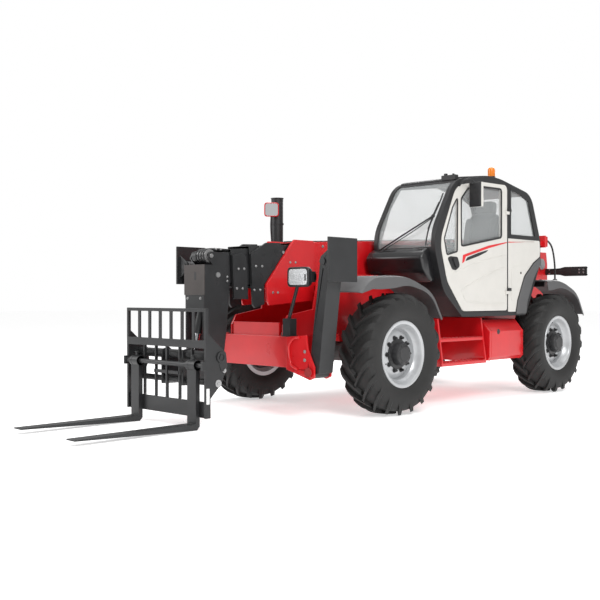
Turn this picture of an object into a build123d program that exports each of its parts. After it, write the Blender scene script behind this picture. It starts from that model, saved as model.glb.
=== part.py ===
from build123d import *
from math import atan2, cos, degrees, hypot, pi, radians, sin
import os

# Telehandler with a four-section boom, front stabilisers and a floating fork carriage.
# Millimetres. +Z is up, the machine faces -Y, and +X is its left side, where the cab is.
# The origin lies on the ground under the middle of the overall box.

# Driving dimensions: wheels and axles
WHEELBASE = 3070.0
FRONT_AXLE_Y = -475.0
REAR_AXLE_Y = FRONT_AXLE_Y + WHEELBASE
TYRE_RADIUS = 605.0
TYRE_WIDTH = 400.0
TRACK_HALF = 1010.0
RIM_SEAT_RADIUS = 305.0
RIM_FLANGE_RADIUS = 333.0
RIM_WALL = 14.0
RIM_FLANGE = 12.0
HUB_RADIUS = 113.0
HUB_LENGTH = 112.0
KINGPIN_X = 900.0
AXLE_Z = TYRE_RADIUS
AXLE_TUBE_RADIUS = 105.0
DIFFERENTIAL_RADIUS = 175.0

# Driving dimensions: chassis
CHASSIS_HALF_WIDTH = 392.0
CHASSIS_PLATE = 20.0
CHASSIS_BOTTOM = 480.0
CHASSIS_DECK_TOP = 1410.0
CHASSIS_TAIL = 1130.0
FRONT_CHEEK_TOP = 1050.0
FRONT_END = 940.0

# Driving dimensions: boom
BOOM_PIVOT_BEHIND_REAR_AXLE = 930.0
BOOM_PIVOT_Z = 1620.0
BOOM_SLOPE = 3.0
BOOM_PIN_RADIUS = 45.0
BOOM_WALL = 8.0
OUTER_HALF_WIDTH = 180.0
SECTION_STEP = 20.0
SECTION_LOW = -110.0
SECTION_HIGH = 350.0
SECTION_STEP_LOW = 25.0
SECTION_STEP_HIGH = 28.0
HOUSING_PLATE = 24.0
PAD_GAP = 0.5

# Driving dimensions: nose, carriage and forks
NOSE_FRONT = 1690.0
NOSE_REAR = 1370.0
NOSE_TOP = 1475.0
NOSE_PIVOT_AHEAD = 1560.0
NOSE_PIVOT_Z = 420.0
NOSE_PIN_RADIUS = 35.0
CARRIAGE_HALF_WIDTH = 600.0
CARRIAGE_FRONT = 2040.0
CARRIAGE_BOTTOM = 110.0
CARRIAGE_TOP = 1070.0
FORK_SHAFT_Z = 570.0
FORK_SHAFT_RADIUS = 22.0
FORK_LENGTH = 1200.0
FORK_WIDTH = 125.0
FORK_THICKNESS = 45.0
FORK_SPACING_HALF = 430.0
FORK_TILT = 2.0

# Driving dimensions: stabilisers
LEG_PIVOT_X = 860.0
LEG_PIVOT_Z = 470.0
LEG_AHEAD = 895.0
LEG_WIDTH = 190.0
FOOT_PIVOT_X = 1030.0
FOOT_PIVOT_Z = 1500.0
FOOT_SOLE_X = 1135.0
FOOT_SIZE_Y = 390.0
FOOT_SIZE_Z = 410.0
FOOT_AHEAD = 850.0

# Driving dimensions: cab and bodywork
CAB_INNER_X = 245.0
CAB_OUTER_X = 1080.0
CAB_WALL = 40.0
CAB_BOTTOM = 955.0
CAB_ROOF_TOP = 2545.0
DOOR_GAP = 6.0
GLASS_THICKNESS = 6.0
FENDER_OUTER_X = 1205.0
FENDER_INNER_X = 720.0
FENDER_THICKNESS = 16.0
HOOD_OUTER_X = -1130.0

# Clearances
FIT = 0.3
RUNNING = 0.3
MOVING_GAP = 6.0
THROUGH = 5.0

os.makedirs("parts", exist_ok=True)


def front_y(distance_behind):
    """Place measured rearward from the front axle."""
    return FRONT_AXLE_Y + distance_behind


def rear_y(distance_behind):
    """Place measured rearward from the rear axle."""
    return REAR_AXLE_Y + distance_behind


def block(x0, x1, y0, y1, z0, z1):
    centre = Pos((x0 + x1) / 2, (y0 + y1) / 2, (z0 + z1) / 2)
    return centre * Box(abs(x1 - x0), abs(y1 - y0), abs(z1 - z0))


def outline(points, radius=0.0):
    """A closed face from corner points, with one corner radius or a list of them."""
    if isinstance(radius, (int, float)) and radius == 0:
        return make_face(Polyline(*points, close=True))
    return make_face(FilletPolyline(*points, radius=radius, close=True))


def side_plate(points, x0, x1, radius=0.0):
    """An outline of (y, z) points, from x0 to x1."""
    return extrude(Plane.YZ.offset(x0) * outline(points, radius), amount=x1 - x0)


def cross_plate(points, y0, y1, radius=0.0):
    """An outline of (x, z) points, from y0 to y1."""
    return extrude(Plane.XZ.offset(-y0) * outline(points, radius), amount=-(y1 - y0))


def flat_plate(points, z0, z1, radius=0.0):
    """An outline of (x, y) points, from z0 to z1."""
    return extrude(Plane.XY.offset(z0) * outline(points, radius), amount=z1 - z0)


def bar_x(y, z, radius, x0, x1):
    return Pos((x0 + x1) / 2, y, z) * Rot(0, 90, 0) * Cylinder(radius, abs(x1 - x0))


def bar_y(x, z, radius, y0, y1):
    return Pos(x, (y0 + y1) / 2, z) * Rot(90, 0, 0) * Cylinder(radius, abs(y1 - y0))


def bar_z(x, y, radius, z0, z1):
    return Pos(x, y, (z0 + z1) / 2) * Cylinder(radius, abs(z1 - z0))


def bar_between(start, end, radius):
    direction = Vector(*end) - Vector(*start)
    plane = Plane(origin=start, z_dir=direction)
    return extrude(plane * Circle(radius), amount=direction.length)


def mirrored(shape):
    return mirror(shape, about=Plane.YZ)


def both_sides(shape):
    return shape + mirrored(shape)


nodes = {}


def keep(name, shape):
    """Store one named piece; its solids become one node."""
    nodes[name] = Compound(children=list(shape.solids()))


# Wheels: tyre and dished rim with its hub, for the four corners
WHEEL_FLATS = 30


def turned_in_flats(points, sides=WHEEL_FLATS):
    """A closed (x, r) profile turned about the X axis in flat facets, to keep the mesh light."""
    rings = []
    for index in range(sides):
        turn = 2 * pi * index / sides
        rings.append([Vector(x, r * cos(turn), r * sin(turn)) for x, r in points])
    faces = []
    for index, ring in enumerate(rings):
        after = rings[(index + 1) % sides]
        for k in range(len(points)):
            n = (k + 1) % len(points)
            corners = [ring[k], after[k], after[n], ring[n]]
            if points[k][1] == 0 and points[n][1] == 0:
                continue
            if points[k][1] == 0:
                corners = [ring[k], after[n], ring[n]]
            if points[n][1] == 0:
                corners = [ring[k], after[k], ring[n]]
            faces.append(Face(Wire.make_polygon(corners, close=True)))
    return Solid(Shell(faces))


WHEEL_PLACES = {
    "front_left": (1, FRONT_AXLE_Y),
    "front_right": (-1, FRONT_AXLE_Y),
    "rear_left": (1, REAR_AXLE_Y),
    "rear_right": (-1, REAR_AXLE_Y),
}
HUB_FLANGE_DEPTH = 45.0
TYRE_SHOULDER = 55.0
TYRE_BEAD_HALF = 150.0
RIM_DEEP = 40.0
DISC_THICKNESS = 16.0
DISC_OFFSET = 65.0
DISC_CONE = 60.0
HUB_EDGE = 18.0
LUG_HEIGHT = 42.0
LUG_ROOT = 520.0
LUG_WIDTH = 38.0
LUG_SWEEP = 150.0
LUG_OVERLAP = 12.0
LUG_INSET = 6.0
LUGS_PER_ROW = 15
SHOULDER_INSET = 14.0
SHOULDER_DROP = 32.0


def tyre_shape():
    """A carcass in flats with two rows of slanting lugs that meet at the middle."""
    half = TYRE_WIDTH / 2
    bore = RIM_SEAT_RADIUS + FIT
    carcass_radius = TYRE_RADIUS - LUG_HEIGHT
    points = [
        (-TYRE_BEAD_HALF, bore),
        (TYRE_BEAD_HALF, bore),
        (TYRE_BEAD_HALF, RIM_FLANGE_RADIUS + 2 * FIT),
        (half - SHOULDER_INSET, RIM_FLANGE_RADIUS + TYRE_SHOULDER),
        (half, (RIM_FLANGE_RADIUS + TYRE_RADIUS) / 2),
        (half - SHOULDER_INSET, carcass_radius - SHOULDER_DROP),
        (half - TYRE_SHOULDER, carcass_radius),
    ]
    points += [(-x, r) for x, r in reversed(points[2:])]
    carcass = turned_in_flats(points)
    lugs = []
    reach = LUG_SWEEP / 2 + LUG_WIDTH
    lug_top = (TYRE_RADIUS ** 2 - reach ** 2) ** 0.5
    for row in (1, -1):
        footprint = [
            (-row * LUG_OVERLAP, LUG_SWEEP / 2 - LUG_WIDTH * 0.4),
            (row * (half - LUG_INSET), -LUG_SWEEP / 2 - LUG_WIDTH * 0.6),
            (row * (half - LUG_INSET), -LUG_SWEEP / 2 + LUG_WIDTH * 0.6),
            (-row * LUG_OVERLAP, LUG_SWEEP / 2 + LUG_WIDTH * 0.4),
        ]
        bar = extrude(Plane.XY.offset(LUG_ROOT) * outline(footprint), amount=lug_top - LUG_ROOT)
        for index in range(LUGS_PER_ROW):
            share = index if row > 0 else index + 0.5
            lugs.append(Rot(360.0 * share / LUGS_PER_ROW, 0, 0) * bar)
    return carcass + lugs


def rim_shape():
    """Flanges, seats, well, disc and planetary hub in one profile; +X is outer."""
    seat = RIM_SEAT_RADIUS
    edge = TYRE_BEAD_HALF + RIM_FLANGE + FIT
    bead = TYRE_BEAD_HALF + FIT
    well = seat - RIM_DEEP
    disc_back = DISC_OFFSET
    disc_face = DISC_OFFSET + DISC_THICKNESS
    disc_edge = well - RIM_DEEP
    hub_nose = DISC_OFFSET + HUB_LENGTH
    hub_back = DISC_OFFSET - HUB_FLANGE_DEPTH
    points = [
        (hub_back, 0),
        (hub_back, HUB_RADIUS),
        (disc_back, HUB_RADIUS),
        (disc_back, disc_edge - DISC_THICKNESS),
        (disc_back - DISC_CONE, well - RIM_WALL),
        (-bead + RIM_DEEP, well - RIM_WALL),
        (-edge, seat - RIM_WALL),
        (-edge, RIM_FLANGE_RADIUS),
        (-bead, RIM_FLANGE_RADIUS),
        (-bead, seat),
        (-bead + RIM_DEEP, well),
        (bead - RIM_DEEP * 2, well),
        (bead, seat),
        (bead, RIM_FLANGE_RADIUS),
        (edge, RIM_FLANGE_RADIUS),
        (edge, seat - RIM_WALL),
        (disc_face - DISC_CONE + RIM_WALL, well - RIM_WALL),
        (disc_face, disc_edge),
        (disc_face, HUB_RADIUS),
        (hub_nose - HUB_EDGE, HUB_RADIUS),
        (hub_nose, HUB_RADIUS - HUB_EDGE),
        (hub_nose, 0),
    ]
    return turned_in_flats(points)


KNUCKLE_RADIUS = 65.0
KNUCKLE_HALF_HEIGHT = 150.0
KNUCKLE_FLANGE = 78.0
KNUCKLE_FLATS = 20
YOKE_ARM = 38.0
STEERING_ARM = 150.0

hub_back_x = TRACK_HALF + DISC_OFFSET - HUB_FLANGE_DEPTH


def knuckle_shape():
    """Kingpin barrel with a spindle flange at the hub's back and a steering arm."""
    half_height = KNUCKLE_HALF_HEIGHT - YOKE_ARM
    barrel = extrude(Pos(KINGPIN_X, 0) * RegularPolygon(KNUCKLE_RADIUS, KNUCKLE_FLATS),
                     amount=half_height, both=True)
    spindle = extrude(Plane.YZ.offset(KINGPIN_X) * RegularPolygon(KNUCKLE_FLANGE, KNUCKLE_FLATS),
                      amount=hub_back_x - RUNNING - KINGPIN_X)
    arm = block(KINGPIN_X - 14, KINGPIN_X + 14, 0, STEERING_ARM, -20, 20)
    return barrel + spindle + arm


tyre = tyre_shape()
rim = rim_shape()
knuckle = knuckle_shape()
for place, (side, wheel_y) in WHEEL_PLACES.items():
    wheel_at = Pos(TRACK_HALF, wheel_y, AXLE_Z)
    placed = [wheel_at * tyre, wheel_at * rim, Pos(0, wheel_y, AXLE_Z) * knuckle]
    if side < 0:
        placed = [mirrored(shape) for shape in placed]
    keep("tyre_" + place, placed[0])
    keep("rim_" + place, placed[1])
    keep("knuckle_" + place, placed[2])

# Axles: beam, differential bowl and the yokes that hold the kingpins
DIFFERENTIAL_HALF = 150.0


def axle_shape():
    """One axle at its own centre."""
    inner_end = KINGPIN_X - KNUCKLE_RADIUS - MOVING_GAP
    back = inner_end - YOKE_ARM * 2
    half = [
        (DIFFERENTIAL_HALF * 0.6, DIFFERENTIAL_RADIUS),
        (DIFFERENTIAL_HALF, DIFFERENTIAL_RADIUS - 20),
        (DIFFERENTIAL_HALF * 1.2, AXLE_TUBE_RADIUS),
        (back, AXLE_TUBE_RADIUS),
        (back, 0),
    ]
    beam = turned_in_flats([(-x, r) for x, r in reversed(half)] + half, KNUCKLE_FLATS)
    high = KNUCKLE_HALF_HEIGHT
    yoke = block(back, inner_end, -KNUCKLE_RADIUS, KNUCKLE_RADIUS, -high, high)
    for z0, z1 in ((-high, -high + YOKE_ARM - RUNNING), (high - YOKE_ARM + RUNNING, high)):
        yoke += block(back, KINGPIN_X, -KNUCKLE_RADIUS, KNUCKLE_RADIUS, z0, z1)
        cap = Pos(KINGPIN_X, 0, z0) * RegularPolygon(KNUCKLE_RADIUS, KNUCKLE_FLATS)
        yoke += extrude(cap, amount=z1 - z0)
    return beam + both_sides(yoke)


axle = axle_shape()
keep("front_axle", Pos(0, FRONT_AXLE_Y, AXLE_Z) * axle)
keep("rear_axle", Pos(0, REAR_AXLE_Y, AXLE_Z) * axle)

# Chassis: two side plates, arched over the axles, with cross members between them
BEAM_DEPTH = 180.0
BEAM_LOW = 490.0
BEAM_HIGH = 790.0
ARCH_HALF = 190.0
EAR_RADIUS = 165.0
SADDLE_HALF = 90.0

beam_front = front_y(-FRONT_END)
beam_back = beam_front + BEAM_DEPTH
arch_top = AXLE_Z + 180.0
boom_pivot_y = REAR_AXLE_Y + BOOM_PIVOT_BEHIND_REAR_AXLE
tail_y = rear_y(CHASSIS_TAIL)
ear_top = BOOM_PIVOT_Z + EAR_RADIUS
inner_face = CHASSIS_HALF_WIDTH - CHASSIS_PLATE

plate_points = [
    (beam_back + FIT, CHASSIS_BOTTOM + 40),
    (front_y(-ARCH_HALF - 60), CHASSIS_BOTTOM + 40),
    (front_y(-ARCH_HALF), arch_top),
    (front_y(ARCH_HALF), arch_top),
    (front_y(ARCH_HALF + 60), CHASSIS_BOTTOM),
    (rear_y(-ARCH_HALF - 60), CHASSIS_BOTTOM),
    (rear_y(-ARCH_HALF), arch_top),
    (rear_y(ARCH_HALF), arch_top),
    (rear_y(ARCH_HALF + 60), CHASSIS_BOTTOM + 90),
    (tail_y, CHASSIS_BOTTOM + 150),
    (tail_y, BOOM_PIVOT_Z),
    (tail_y - 30, ear_top),
    (boom_pivot_y - 130, ear_top),
    (rear_y(420), CHASSIS_DECK_TOP - 90),
    (front_y(590), CHASSIS_DECK_TOP - 110),
    (front_y(540), CHASSIS_DECK_TOP),
    (front_y(-400), CHASSIS_DECK_TOP),
    (front_y(-480), FRONT_CHEEK_TOP),
    (beam_front + 100, FRONT_CHEEK_TOP - 60),
    (beam_front + 40, BEAM_HIGH + 100),
    (beam_front + 40, BEAM_HIGH + FIT),
    (beam_back + FIT, BEAM_HIGH + FIT),
]
chassis = both_sides(side_plate(plate_points, inner_face, CHASSIS_HALF_WIDTH))
cross_members = [
    (beam_back + FIT, front_y(-ARCH_HALF - 90), 640, 700),
    (front_y(-ARCH_HALF + 20), front_y(ARCH_HALF - 20), arch_top + 20, arch_top + 60),
    (front_y(ARCH_HALF + 90), rear_y(-ARCH_HALF - 90), CHASSIS_BOTTOM + 10, CHASSIS_BOTTOM + 40),
    (rear_y(ARCH_HALF + 100), tail_y - 40, CHASSIS_BOTTOM + 160, CHASSIS_BOTTOM + 190),
]
for y0, y1, z0, z1 in cross_members:
    chassis += block(-inner_face, inner_face, y0, y1, z0, z1)
chassis += block(-inner_face, inner_face, tail_y - 60, tail_y - 35, CHASSIS_BOTTOM + 160, 1250)
axle_top = AXLE_Z + AXLE_TUBE_RADIUS
for axle_y in (FRONT_AXLE_Y, REAR_AXLE_Y):
    saddle = block(
        inner_face - 60, CHASSIS_HALF_WIDTH, axle_y - SADDLE_HALF, axle_y + SADDLE_HALF,
        axle_top + FIT, arch_top + 60,
    )
    chassis += both_sides(saddle)

# Lift cylinder pivot on the chassis
LIFT_BASE_BEHIND_REAR_AXLE = 380.0
LIFT_BASE_Z = 850.0
LIFT_PIN_RADIUS = 35.0
LIFT_BARREL_RADIUS = 85.0
LIFT_ROD_RADIUS = 55.0
LIFT_EYE_AHEAD = 2450.0
LIFT_EYE_DROP = 340.0
LIFT_EYE_HALF = 40.0
LIFT_BARREL_LENGTH = 1620.0
CLEVIS_PLATE = 25.0

lift_base_y = rear_y(LIFT_BASE_BEHIND_REAR_AXLE)
clevis_inner = LIFT_EYE_HALF + MOVING_GAP
for side in (-1, 1):
    x0 = side * clevis_inner
    x1 = side * (clevis_inner + CLEVIS_PLATE)
    cheek = [
        (lift_base_y - 110, CHASSIS_BOTTOM + 170),
        (lift_base_y + 110, CHASSIS_BOTTOM + 170),
        (lift_base_y + 70, LIFT_BASE_Z + 70),
        (lift_base_y - 70, LIFT_BASE_Z + 70),
    ]
    chassis += side_plate(cheek, min(x0, x1), max(x0, x1))
chassis += block(-inner_face, inner_face, lift_base_y - 150, lift_base_y + 150,
                 CHASSIS_BOTTOM + 160, CHASSIS_BOTTOM + 190)
lift_pin_half = clevis_inner + CLEVIS_PLATE + 10
chassis += bar_x(lift_base_y, LIFT_BASE_Z, LIFT_PIN_RADIUS, -lift_pin_half, lift_pin_half)
boom_pin_half = CHASSIS_HALF_WIDTH + 25
chassis += bar_x(boom_pivot_y, BOOM_PIVOT_Z, BOOM_PIN_RADIUS, -boom_pin_half, boom_pin_half)

# Tow plate with a pin hole at the tail
TOW_REACH = 60.0
TOW_HOLE_RADIUS = 16.0
TOW_LOW = 640.0
TOW_HIGH = 665.0
chassis += block(-70, 70, tail_y - 60, tail_y + TOW_REACH, TOW_LOW, TOW_HIGH)
chassis -= bar_z(0, tail_y + TOW_REACH - 35, TOW_HOLE_RADIUS, TOW_LOW - 1, TOW_HIGH + 1)
keep("chassis_frame", chassis)

# Front beam: the stabiliser carrier across the nose, with a pair of pivot brackets each side
BRACKET_PLATE = 20.0
BEAM_PLATE_HALF = 590.0
DECK_PLATE_HALF = 340.0
LEG_PIN_RADIUS = 28.0

leg_front = front_y(-LEG_AHEAD) - LEG_WIDTH / 2
leg_back = front_y(-LEG_AHEAD) + LEG_WIDTH / 2
bracket_front = leg_front - MOVING_GAP - BRACKET_PLATE
bracket_back = leg_back + MOVING_GAP + BRACKET_PLATE

beam_points = [
    (-BEAM_PLATE_HALF, BEAM_LOW),
    (BEAM_PLATE_HALF, BEAM_LOW),
    (BEAM_PLATE_HALF + 20, (BEAM_LOW + BEAM_HIGH) / 2),
    (BEAM_PLATE_HALF - 90, BEAM_HIGH),
    (-BEAM_PLATE_HALF + 90, BEAM_HIGH),
    (-BEAM_PLATE_HALF - 20, (BEAM_LOW + BEAM_HIGH) / 2),
]
front_beam = cross_plate(beam_points, beam_front, beam_back)
front_beam += block(-DECK_PLATE_HALF, DECK_PLATE_HALF, beam_front + 30, beam_front + 50,
                    BEAM_HIGH, BEAM_HIGH + 130)
bracket_points = [
    (BEAM_PLATE_HALF - 40, BEAM_HIGH),
    (LEG_PIVOT_X - 40, BEAM_HIGH + 25),
    (LEG_PIVOT_X - 25, BEAM_HIGH - 110),
    (LEG_PIVOT_X + 60, LEG_PIVOT_Z + 50),
    (LEG_PIVOT_X + 60, LEG_PIVOT_Z - 50),
    (LEG_PIVOT_X, LEG_PIVOT_Z - 75),
    (LEG_PIVOT_X - 90, LEG_PIVOT_Z - 50),
    (BEAM_PLATE_HALF - 40, BEAM_LOW - 10),
]
brackets = cross_plate(bracket_points, bracket_front, bracket_front + BRACKET_PLATE)
brackets += cross_plate(bracket_points, bracket_back - BRACKET_PLATE, bracket_back)
brackets += block(BEAM_PLATE_HALF - 40, BEAM_PLATE_HALF + 10, bracket_front, bracket_back,
                  BEAM_LOW - 10, BEAM_HIGH)
brackets += bar_y(LEG_PIVOT_X, LEG_PIVOT_Z, LEG_PIN_RADIUS, bracket_front - 12, bracket_back + 12)
front_beam += both_sides(brackets)
keep("front_beam", front_beam)

# Stabilisers: leg swinging about a fore-and-aft pin, foot plate on the leg's far end
FOOT_PIN_RADIUS = 22.0
FOOT_END_RADIUS = 60.0
FOOT_PLATE = 22.0
FOOT_EAR = 16.0
LEG_END_RADIUS = 62.0

leg_points = [
    (LEG_PIVOT_X - 20, LEG_PIVOT_Z - 30),
    (LEG_PIVOT_X + 95, LEG_PIVOT_Z - 10),
    (FOOT_PIVOT_X + FOOT_END_RADIUS - 5, FOOT_PIVOT_Z),
    (FOOT_PIVOT_X - FOOT_END_RADIUS, FOOT_PIVOT_Z),
    (LEG_PIVOT_X - 10, LEG_PIVOT_Z + 160),
]
leg = cross_plate(leg_points, leg_front, leg_back)
leg += bar_y(LEG_PIVOT_X, LEG_PIVOT_Z, LEG_END_RADIUS, leg_front, leg_back)
leg += bar_y(FOOT_PIVOT_X, FOOT_PIVOT_Z, FOOT_END_RADIUS, leg_front, leg_back)
leg -= bar_y(LEG_PIVOT_X, LEG_PIVOT_Z, LEG_PIN_RADIUS + RUNNING, leg_front - 1, leg_back + 1)
foot_ear_front = leg_front - MOVING_GAP - FOOT_EAR
foot_ear_back = leg_back + MOVING_GAP + FOOT_EAR
leg += bar_y(FOOT_PIVOT_X, FOOT_PIVOT_Z, FOOT_PIN_RADIUS, foot_ear_front - 8, foot_ear_back + 8)
keep("stabiliser_leg_left", leg)
keep("stabiliser_leg_right", mirrored(leg))

foot_centre_y = front_y(-FOOT_AHEAD)
foot_y0 = foot_centre_y - FOOT_SIZE_Y / 2
foot_y1 = foot_centre_y + FOOT_SIZE_Y / 2
foot_z0 = FOOT_PIVOT_Z + 15 - FOOT_SIZE_Z / 2
foot_z1 = FOOT_PIVOT_Z + 15 + FOOT_SIZE_Z / 2
foot = block(FOOT_SOLE_X - FOOT_PLATE, FOOT_SOLE_X, foot_y0, foot_y1, foot_z0, foot_z1)
ear_points = [
    (FOOT_SOLE_X - FOOT_PLATE, FOOT_PIVOT_Z - 120),
    (FOOT_SOLE_X - FOOT_PLATE, FOOT_PIVOT_Z + 120),
    (FOOT_PIVOT_X - 30, FOOT_PIVOT_Z + 45),
    (FOOT_PIVOT_X - 50, FOOT_PIVOT_Z),
    (FOOT_PIVOT_X - 30, FOOT_PIVOT_Z - 45),
]
foot += cross_plate(ear_points, foot_ear_front, foot_ear_front + FOOT_EAR)
foot += cross_plate(ear_points, foot_ear_back - FOOT_EAR, foot_ear_back)
foot -= bar_y(
    FOOT_PIVOT_X, FOOT_PIVOT_Z, FOOT_PIN_RADIUS + RUNNING, foot_ear_front - 20, foot_ear_back + 20
)
keep("stabiliser_foot_left", foot)
keep("stabiliser_foot_right", mirrored(foot))

# Boom: nested box sections, modelled level with the pivot at the origin, then sloped.
# In the boom's own frame Y is negative ahead of the pivot and Z is up from it.
boom_at = Pos(0, boom_pivot_y, BOOM_PIVOT_Z) * Rot(BOOM_SLOPE, 0, 0)
HOUSING_DROP = 165.0
BOOM_TAIL = 150.0
BOSS_RADIUS = 100.0


def boom_y(ahead_of_front_axle):
    """Boom-frame Y of a place measured forward from the front axle."""
    level = boom_pivot_y - front_y(-ahead_of_front_axle)
    return -level / cos(radians(BOOM_SLOPE))


def section_limits(index):
    """Half width, low and high face of one section, counted from the outer one."""
    half = OUTER_HALF_WIDTH - index * SECTION_STEP
    low = SECTION_LOW + index * SECTION_STEP_LOW
    high = SECTION_HIGH - index * SECTION_STEP_HIGH
    return half, low, high


def section_tube(index, y_front, y_rear):
    half, low, high = section_limits(index)
    outside = block(-half, half, y_front, y_rear, low, high)
    inside = block(
        -half + BOOM_WALL, half - BOOM_WALL, y_front - 1, y_rear + 1,
        low + BOOM_WALL, high - BOOM_WALL,
    )
    return outside - inside


def wear_pads(index, y_rear):
    """Pads on a section's rear end, running in the section around it."""
    half, low, high = section_limits(index)
    around_half, around_low, around_high = section_limits(index - 1)
    inside_half = around_half - BOOM_WALL - PAD_GAP
    length = 120.0
    inset = 60.0
    top = block(-half + inset, half - inset, y_rear - length, y_rear,
                high, around_high - BOOM_WALL - PAD_GAP)
    bottom = block(-half + inset, half - inset, y_rear - length, y_rear,
                   around_low + BOOM_WALL + PAD_GAP, low)
    middle = (low + high) / 2
    side = block(half, inside_half, y_rear - length, y_rear, middle - inset, middle + inset)
    return top + bottom + both_sides(side)


# Outer section, with its front housing plates and the pivot boss at its tail
outer_front = boom_y(950)
half0, low0, high0 = section_limits(0)
boom_outer = section_tube(0, outer_front, BOOM_TAIL)
front_cut = [
    (outer_front - 20, high0 + 20),
    (boom_y(565), high0 + 20),
    (boom_y(565), high0),
    (outer_front, low0 + 45),
    (outer_front - 20, low0 + 45),
]
boom_outer -= side_plate(front_cut, -half0 - 10, half0 + 10)
housing_points = [
    (boom_y(950), low0 + 45),
    (boom_y(541), high0 + 25),
    (boom_y(265), high0 + 10),
    (boom_y(215), high0 - 60),
    (boom_y(265), high0 - 280),
    (boom_y(285), low0 - HOUSING_DROP + 15),
    (boom_y(925), low0 - HOUSING_DROP),
    (boom_y(950), low0 - HOUSING_DROP + 50),
]
boom_outer += both_sides(side_plate(housing_points, half0, half0 + HOUSING_PLATE))
boss_half = inner_face - MOVING_GAP
boom_outer += bar_x(0, 0, BOSS_RADIUS, -boss_half, -half0 + BOOM_WALL)
boom_outer += bar_x(0, 0, BOSS_RADIUS, half0 - BOOM_WALL, boss_half)
boom_outer -= bar_x(0, 0, BOOM_PIN_RADIUS + RUNNING, -boss_half - 5, boss_half + 5)
slope = radians(BOOM_SLOPE)
eye_y = -LIFT_EYE_AHEAD * cos(slope) - LIFT_EYE_DROP * sin(slope)
eye_z = LIFT_EYE_AHEAD * sin(slope) - LIFT_EYE_DROP * cos(slope)
lug_points = [
    (eye_y - 130, low0),
    (eye_y - 50, eye_z - 40),
    (eye_y + 50, eye_z - 40),
    (eye_y + 130, low0),
]
lug = side_plate(lug_points, clevis_inner, clevis_inner + CLEVIS_PLATE)
lug += bar_x(eye_y, eye_z, 62, clevis_inner, clevis_inner + CLEVIS_PLATE)
boom_outer += both_sides(lug)
front_pad = block(-half0 + 60, half0 - 60, boom_y(560), boom_y(500),
                  high0 - BOOM_WALL - 6, high0 - BOOM_WALL)
boom_outer += front_pad
keep("boom_outer", boom_at * boom_outer)

# Second and third sections, each with its own pair of front plates
SECTION_REAR = 150.0
PLATE2_FRONT = 1125.0
PLATE2_SETBACK = 8.0
PLATE3_REAR = 1165.0
PLATE3_FRONT = 1345.0

half1, low1, high1 = section_limits(1)
rear1 = -SECTION_REAR
boom_second = section_tube(1, boom_y(PLATE2_FRONT), rear1) + wear_pads(1, rear1)
plate2_points = [
    (boom_y(PLATE2_FRONT), high1 - 80),
    (boom_y(905) - PLATE2_SETBACK, high1 + 25),
    (boom_y(715) - PLATE2_SETBACK, high1 + 22),
    (boom_y(660) - PLATE2_SETBACK, high1 - 78),
    (boom_y(962) - PLATE2_SETBACK, low1 + 16),
    (boom_y(962) - PLATE2_SETBACK, low1 - 173),
    (boom_y(1090) - PLATE2_SETBACK, low1 - 205),
    (boom_y(PLATE2_FRONT), low1 - 170),
]
boom_second += both_sides(side_plate(plate2_points, half1, half1 + HOUSING_PLATE))
keep("boom_second", boom_at * boom_second)

half2, low2, high2 = section_limits(2)
rear2 = rear1 - 40
boom_third = section_tube(2, boom_y(PLATE3_FRONT), rear2) + wear_pads(2, rear2)
plate3_points = [
    (boom_y(PLATE3_FRONT), high2 - 60),
    (boom_y(PLATE3_REAR + 60), high2 - 45),
    (boom_y(PLATE3_REAR), high2 - 80),
    (boom_y(PLATE3_REAR), low2 - 140),
    (boom_y(PLATE3_FRONT), low2 - 128),
]
boom_third += both_sides(side_plate(plate3_points, half2, half2 + HOUSING_PLATE))
keep("boom_third", boom_at * boom_third)

# Innermost section with the drop nose welded to its front
NOSE_PLATE = 18.0
TUBE4_FRONT = 1440.0
TILT_BASE_AHEAD = 1520.0
TILT_BASE_Z = 1380.0
TILT_EYE_AHEAD = 1699.0
TILT_EYE_Z = 628.0
TILT_BARREL_RADIUS = 45.0
TILT_ROD_RADIUS = 25.0
TILT_BARREL_LENGTH = 570.0
TILT_EYE_HALF = 26.0
TILT_PIN_RADIUS = 20.0
ROLLER_RADIUS = 48.0
ROLLER_PIN_RADIUS = 20.0
ROLLER_AHEAD = 1600.0
ROLLER_Z = NOSE_TOP + 85.0

half3, low3, high3 = section_limits(3)
rear3 = rear2 - 40
nose_pivot_y = front_y(-NOSE_PIVOT_AHEAD)
nose = boom_at * (section_tube(3, boom_y(TUBE4_FRONT), rear3) + wear_pads(3, rear3))
nose_points = [
    (front_y(-NOSE_REAR), NOSE_TOP),
    (front_y(-NOSE_REAR), NOSE_TOP - 200),
    (front_y(-NOSE_REAR - 40), 850),
    (nose_pivot_y + 95, NOSE_PIVOT_Z + 40),
    (nose_pivot_y + 60, NOSE_PIVOT_Z - 70),
    (nose_pivot_y - 60, NOSE_PIVOT_Z - 70),
    (nose_pivot_y - 95, NOSE_PIVOT_Z + 40),
    (front_y(-NOSE_FRONT), 760),
    (front_y(-NOSE_FRONT), NOSE_TOP),
]
nose += both_sides(side_plate(nose_points, half3, half3 + NOSE_PLATE))
nose += block(-half3, half3, front_y(-NOSE_FRONT), front_y(-NOSE_FRONT) + NOSE_PLATE,
              1060, NOSE_TOP)
nose += block(-half3, half3, front_y(-NOSE_REAR) - NOSE_PLATE, front_y(-NOSE_REAR),
              NOSE_TOP - 400, NOSE_TOP - 220)
tilt_base_y = front_y(-TILT_BASE_AHEAD)
tilt_eye_y = front_y(-TILT_EYE_AHEAD)
nose += bar_x(tilt_base_y, TILT_BASE_Z, TILT_PIN_RADIUS, -half3, half3)
roller_y = front_y(-ROLLER_AHEAD)
nose += bar_x(roller_y, ROLLER_Z, ROLLER_RADIUS, -half3 + 20, half3 - 20)
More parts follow.
